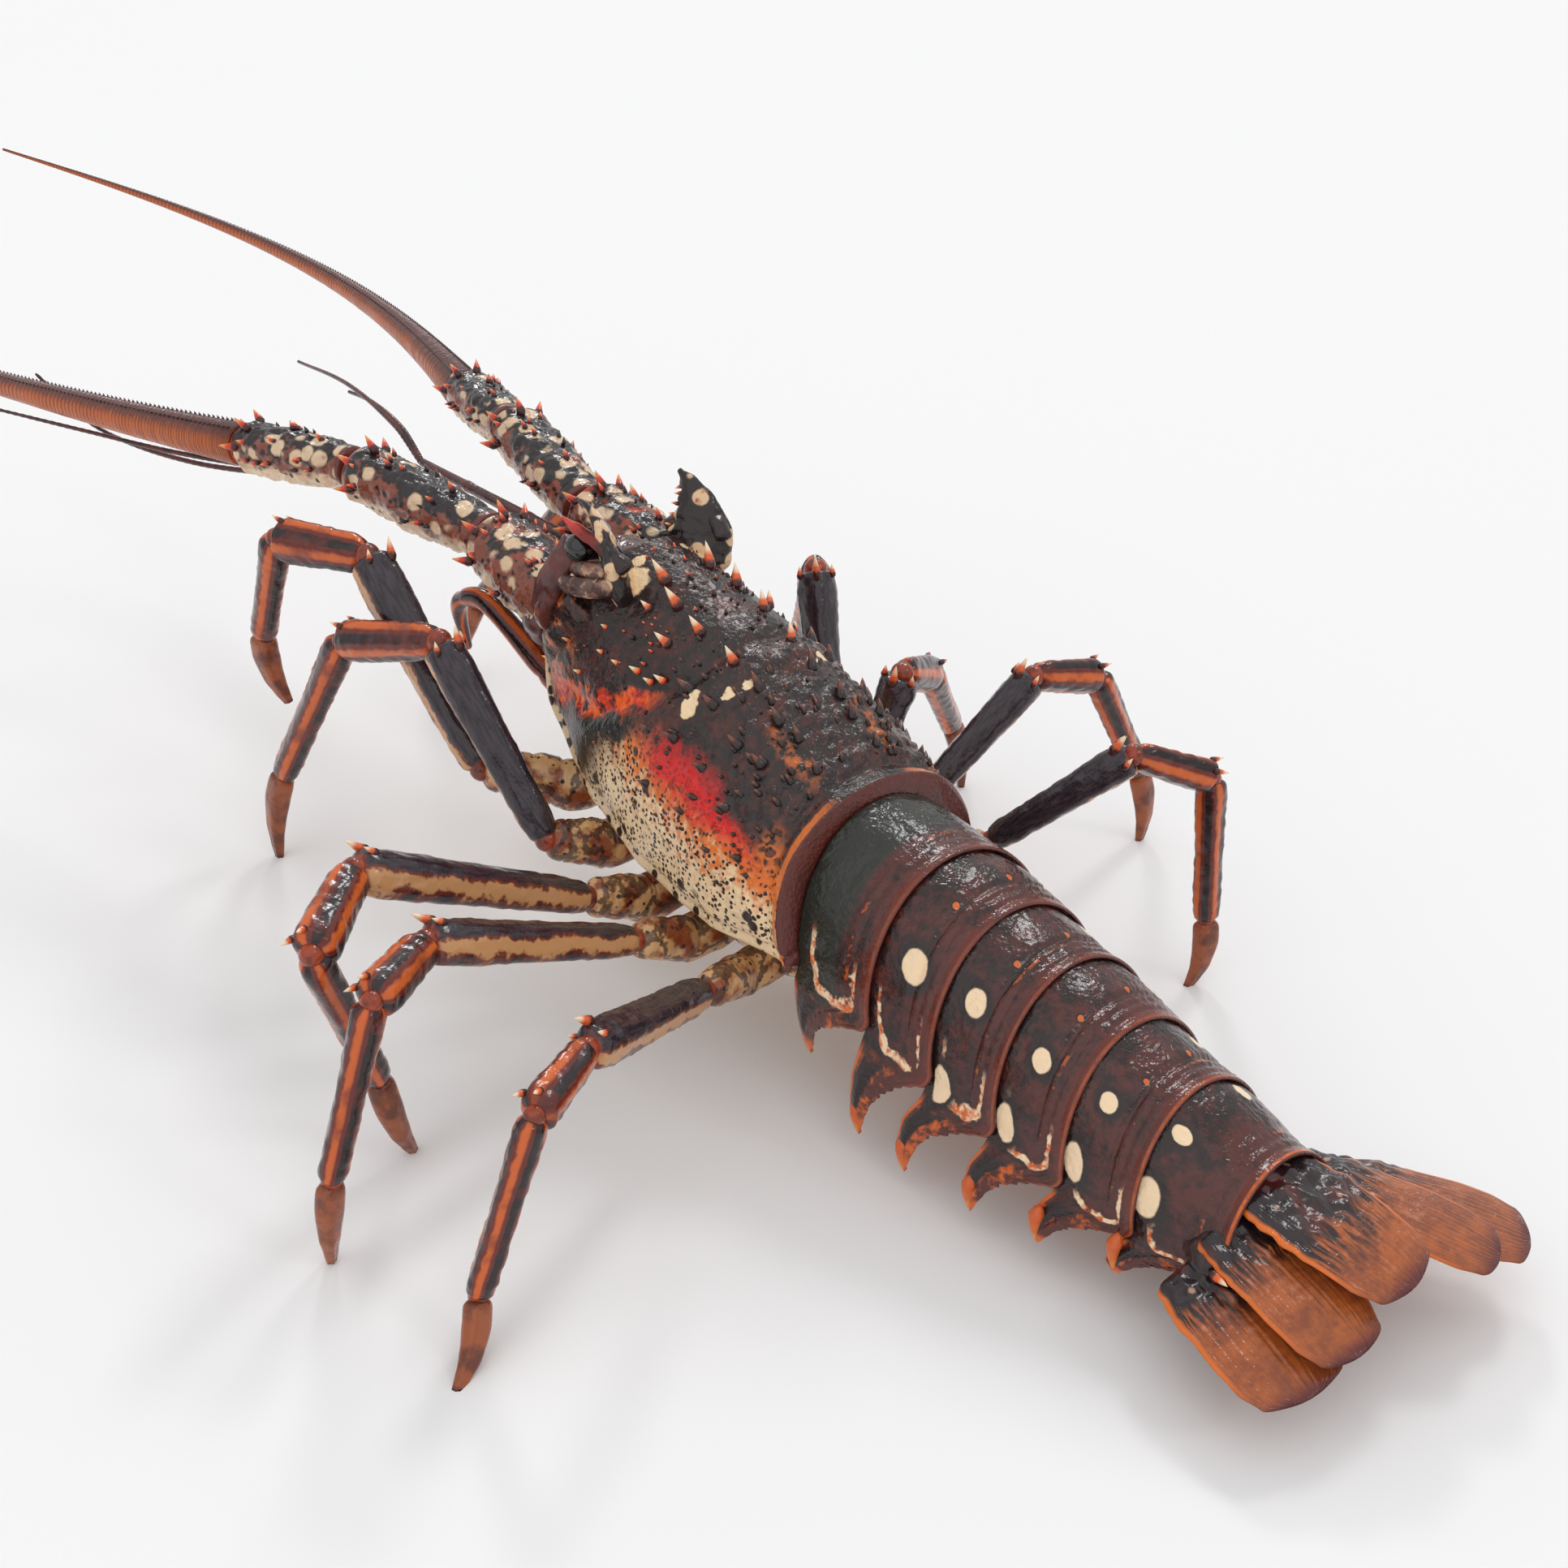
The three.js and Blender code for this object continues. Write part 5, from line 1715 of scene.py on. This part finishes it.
@dataclass
class Fan:
    """The tail fan: a middle blade and two pairs of side blades on their knuckled bases."""

    outline: Pairs = ((0.0, 0.8), (0.25, 0.96), (0.6, 1.02), (0.8, 0.97), (0.93, 0.8), (1.0, 0.5))
    thick: Pairs = ((0.0, 2.2), (0.3, 1.7), (0.66, 1.1), (0.88, 0.8), (1.0, 0.5))

    BLADES = (
        ("telson", (-0.6, 110.5, 31.5), (-4.0, 150.5, 24.5), 12.8, (1.0, 0.06, 0.0), 0.56),
        ("uropod_left_inner", (10.5, 114.5, 26.0), (15.0, 151.0, 19.0), 10.4, (1.0, -0.1, -0.12), 0.36),
        ("uropod_right_inner", (-12.5, 116.0, 26.0), (-29.0, 155.5, 19.5), 10.4, (1.0, 0.1, 0.12), 0.36),
        ("uropod_left_outer", (19.0, 114.0, 19.5), (26.5, 148.5, 14.0), 12.4, (1.0, -0.12, -0.16), 0.36),
        ("uropod_right_outer", (-22.0, 118.5, 19.5), (-43.0, 155.5, 15.0), 12.0, (1.0, 0.12, 0.16), 0.36),
    )

    def make(self) -> None:
        """Builds every blade and both bases."""
        for name, start, end, half, across, dark in self.BLADES:
            self.blade(name, Vector(start), Vector(end), half, Vector(across), dark)
        self.base(Side.LEFT, 15.5)
        self.base(Side.RIGHT, -19.0)

    def blade(self, name: str, first: Vector, last: Vector, half: float, across: Vector,
              dark: float) -> None:
        """One blade: a thin ribbed leaf.

        Args:
            name: the CAD node that it stands for.
            first: the middle of its root.
            last: the middle of its far edge.
            half: half its greatest width.
            across: the way that its width lies.
            dark: the share of its length that is dark shell.
        """
        stations = []
        for place, width in self.outline:
            arch = UP * (1.2 * math.sin(math.pi * place))
            stations.append((mix(first, last, place) + arch, width * half, along(self.thick, place)))
        limb = Limb(stations, across, (0.25, 0.35))

        def relief(share: float, turn: float) -> float:
            """Lumps on the hard base, ribs on the soft blade."""
            soft = ease(dark - 0.06, dark + 0.1, share)
            ribs = 0.05 * math.sin(turn * 44.0) * soft
            lumps = (1.0 - soft) * (noise.noise(limb.point(share, turn) * 0.4) + 0.5)
            return ribs + lumps

        moulding = Moulding()
        limb.cast(moulding, 64, 260, 0, relief)
        finish = BladeFinish(f"fan_blade_{round(dark * 100)}", base=dark)
        moulding.piece(f"{name}_blade", (finish,), [name])

    def base(self, side: Side, middle: float) -> None:
        """The knuckled joint that carries a pair of side blades."""
        centre = Vector((middle, 0.0, 0.0))
        run = side.stations((((-6.0, 111.0, 23.0), 4.2, 4.4), ((-1.0, 116.5, 21.5), 7.0, 5.4),
                             ((2.0, 123.0, 20.0), 7.4, 3.4)))
        limb = Limb([(centre + spot, wide, tall) for spot, wide, tall in run], None, (0.6, 0.6))

        def relief(share: float, turn: float) -> float:
            """Lumps."""
            return noise.noise(limb.point(share, turn) * 0.35) * 0.9

        moulding = Moulding()
        limb.cast(moulding, 36, 48, 0, relief)
        for shift in (-3.5, 1.5, 6.5):
            root = centre + side.point(shift, 121.0, 23.0)
            moulding.thorn(root, root + side.point(1.0, 4.2, 0.4), 1.3, 1)
        name = f"uropod_{side.word}_base"
        finish = MarbledFinish(
            "fan_base", cream=tint(220, 120, 46), orange=tint(60, 36, 36), dark=tint(34, 26, 28),
            cream_share=0.2, dark_share=0.3)
        moulding.piece(f"{name}_knuckle", (finish, THORN_BRIGHT), [name])


@dataclass
class Breast:
    """The plate between the legs."""

    def make(self) -> None:
        """Builds the breast plate with its grooves."""
        rows = ((-92, 55, 11, 6), (-70, 40, 15, 6), (-45, 30, 18, 6), (-20, 24, 19, 6), (-4, 27, 16, 7))
        stations = [(Vector((0.0, y, z)), wide, tall) for y, z, wide, tall in rows]
        limb = Limb(stations, ACROSS, (0.3, 0.3))
        moulding = Moulding()
        limb.cast(moulding, 80, 56, 0, lambda share, turn: 0.6 * math.sin(share * 30.0))
        finish = MarbledFinish("breast_shell", cream_share=1.0, dark_share=0.16)
        moulding.piece("breast_plate_ribbed", (finish,), ["breast_plate"])


@dataclass
class Studio:
    """The floor, the lights and the camera at the photograph's angle."""

    target: Vector = Vector((-0.0311, 0.1211, 0.04))
    azimuth: float = 138.0
    elevation: float = 30.0
    distance: float = 0.501
    lens: float = 42.0
    low_light: float = 0.66
    high_light: float = 0.68
    floor_half: float = 8.0

    SUNS = (
        ("soft", 250.0, 62.0, 80.0, 0.15),
        ("key", 288.0, 50.0, 11.0, 0.46),
        ("glint", 322.0, 38.0, 9.0, 0.4),
        ("side", 205.0, 42.0, 9.0, 0.15),
        ("fill", 120.0, 48.0, 85.0, 0.5),
    )

    def make(self) -> None:
        """Sets up everything that isn't the animal."""
        self.floor()
        self.camera()
        self.lights()

    def back(self, azimuth: float, elevation: float) -> Vector:
        """The way from the target back to a viewer at these angles."""
        turn, rise = math.radians(azimuth), math.radians(elevation)
        return Vector((math.sin(turn) * math.cos(rise), -math.cos(turn) * math.cos(rise), math.sin(rise)))

    def stand(self, name: str, data: Any, azimuth: float, elevation: float,
              distance: float) -> bpy.types.Object:
        """Stands a camera or a light at these angles from the target, facing it."""
        made = put(name, data)
        back = self.back(azimuth, elevation)
        made.location = self.target + back * distance
        made.rotation_euler = back.to_track_quat("Z", "Y").to_euler()
        return made

    def floor(self) -> None:
        """A wide pale floor."""
        mesh = bmesh.new()
        bmesh.ops.create_grid(mesh, x_segments=4, y_segments=4, size=self.floor_half)
        data = bpy.data.meshes.new("studio_floor")
        mesh.to_mesh(data)
        mesh.free()
        data.materials.append(FloorFinish("studio_floor_pale").material())
        put("studio_floor", data)

    def camera(self) -> None:
        """The camera, at the photograph's place."""
        data = bpy.data.cameras.new("camera")
        data.lens = self.lens
        data.sensor_width = 36.0
        data.clip_start = 0.01
        data.clip_end = 50.0
        bpy.context.scene.camera = self.stand("camera", data, self.azimuth, self.elevation, self.distance)

    def lights(self) -> None:
        """An even surround, a little brighter above, and five suns.

        The soft one and the fill, which is on the camera's side, are broad. The key, the glint and the
        side one are small: they draw the highlights on the wet shell.
        """
        world = bpy.data.worlds.new("surround")
        world.use_nodes = True
        tree = world.node_tree
        way = tree.nodes.new("ShaderNodeTexCoord")
        parts = tree.nodes.new("ShaderNodeSeparateXYZ")
        sky = tree.nodes.new("ShaderNodeMapRange")
        sky.interpolation_type = "SMOOTHSTEP"
        for number, value in ((1, 0.3), (2, 0.95), (3, self.low_light), (4, self.high_light)):
            sky.inputs[number].default_value = value
        tree.links.new(way.outputs["Generated"], parts.inputs[0])
        tree.links.new(parts.outputs["Z"], sky.inputs[0])
        tree.links.new(sky.outputs[0], tree.nodes["Background"].inputs["Strength"])
        tree.nodes["Background"].inputs["Color"].default_value = (1.0, 1.0, 1.0, 1.0)
        bpy.context.scene.world = world
        bpy.context.scene.view_settings.view_transform = "Standard"
        for sun in self.SUNS:
            self.sun(*sun)

    def sun(self, name: str, azimuth: float, elevation: float, spread: float, power: float) -> None:
        """Adds one far light.

        Args:
            name: its name.
            azimuth: where it stands, turned as the camera's own angle is.
            elevation: how high it stands, in degrees.
            spread: how wide it looks, in degrees.
            power: how bright it is.
        """
        data = bpy.data.lights.new(name, "SUN")
        data.energy = power
        data.angle = math.radians(spread)
        self.stand(name, data, azimuth, elevation, 1.0)


def main() -> None:
    """Builds the animal, part by part, and the studio around it."""
    logging.basicConfig(level=logging.INFO, format="%(name)s %(message)s")
    Studio().make()
    Carapace().make()
    Head().make()
    Antennae().make()
    Legs().make()
    Tail().make()
    Breast().make()


if __name__ == "__main__":
    main()
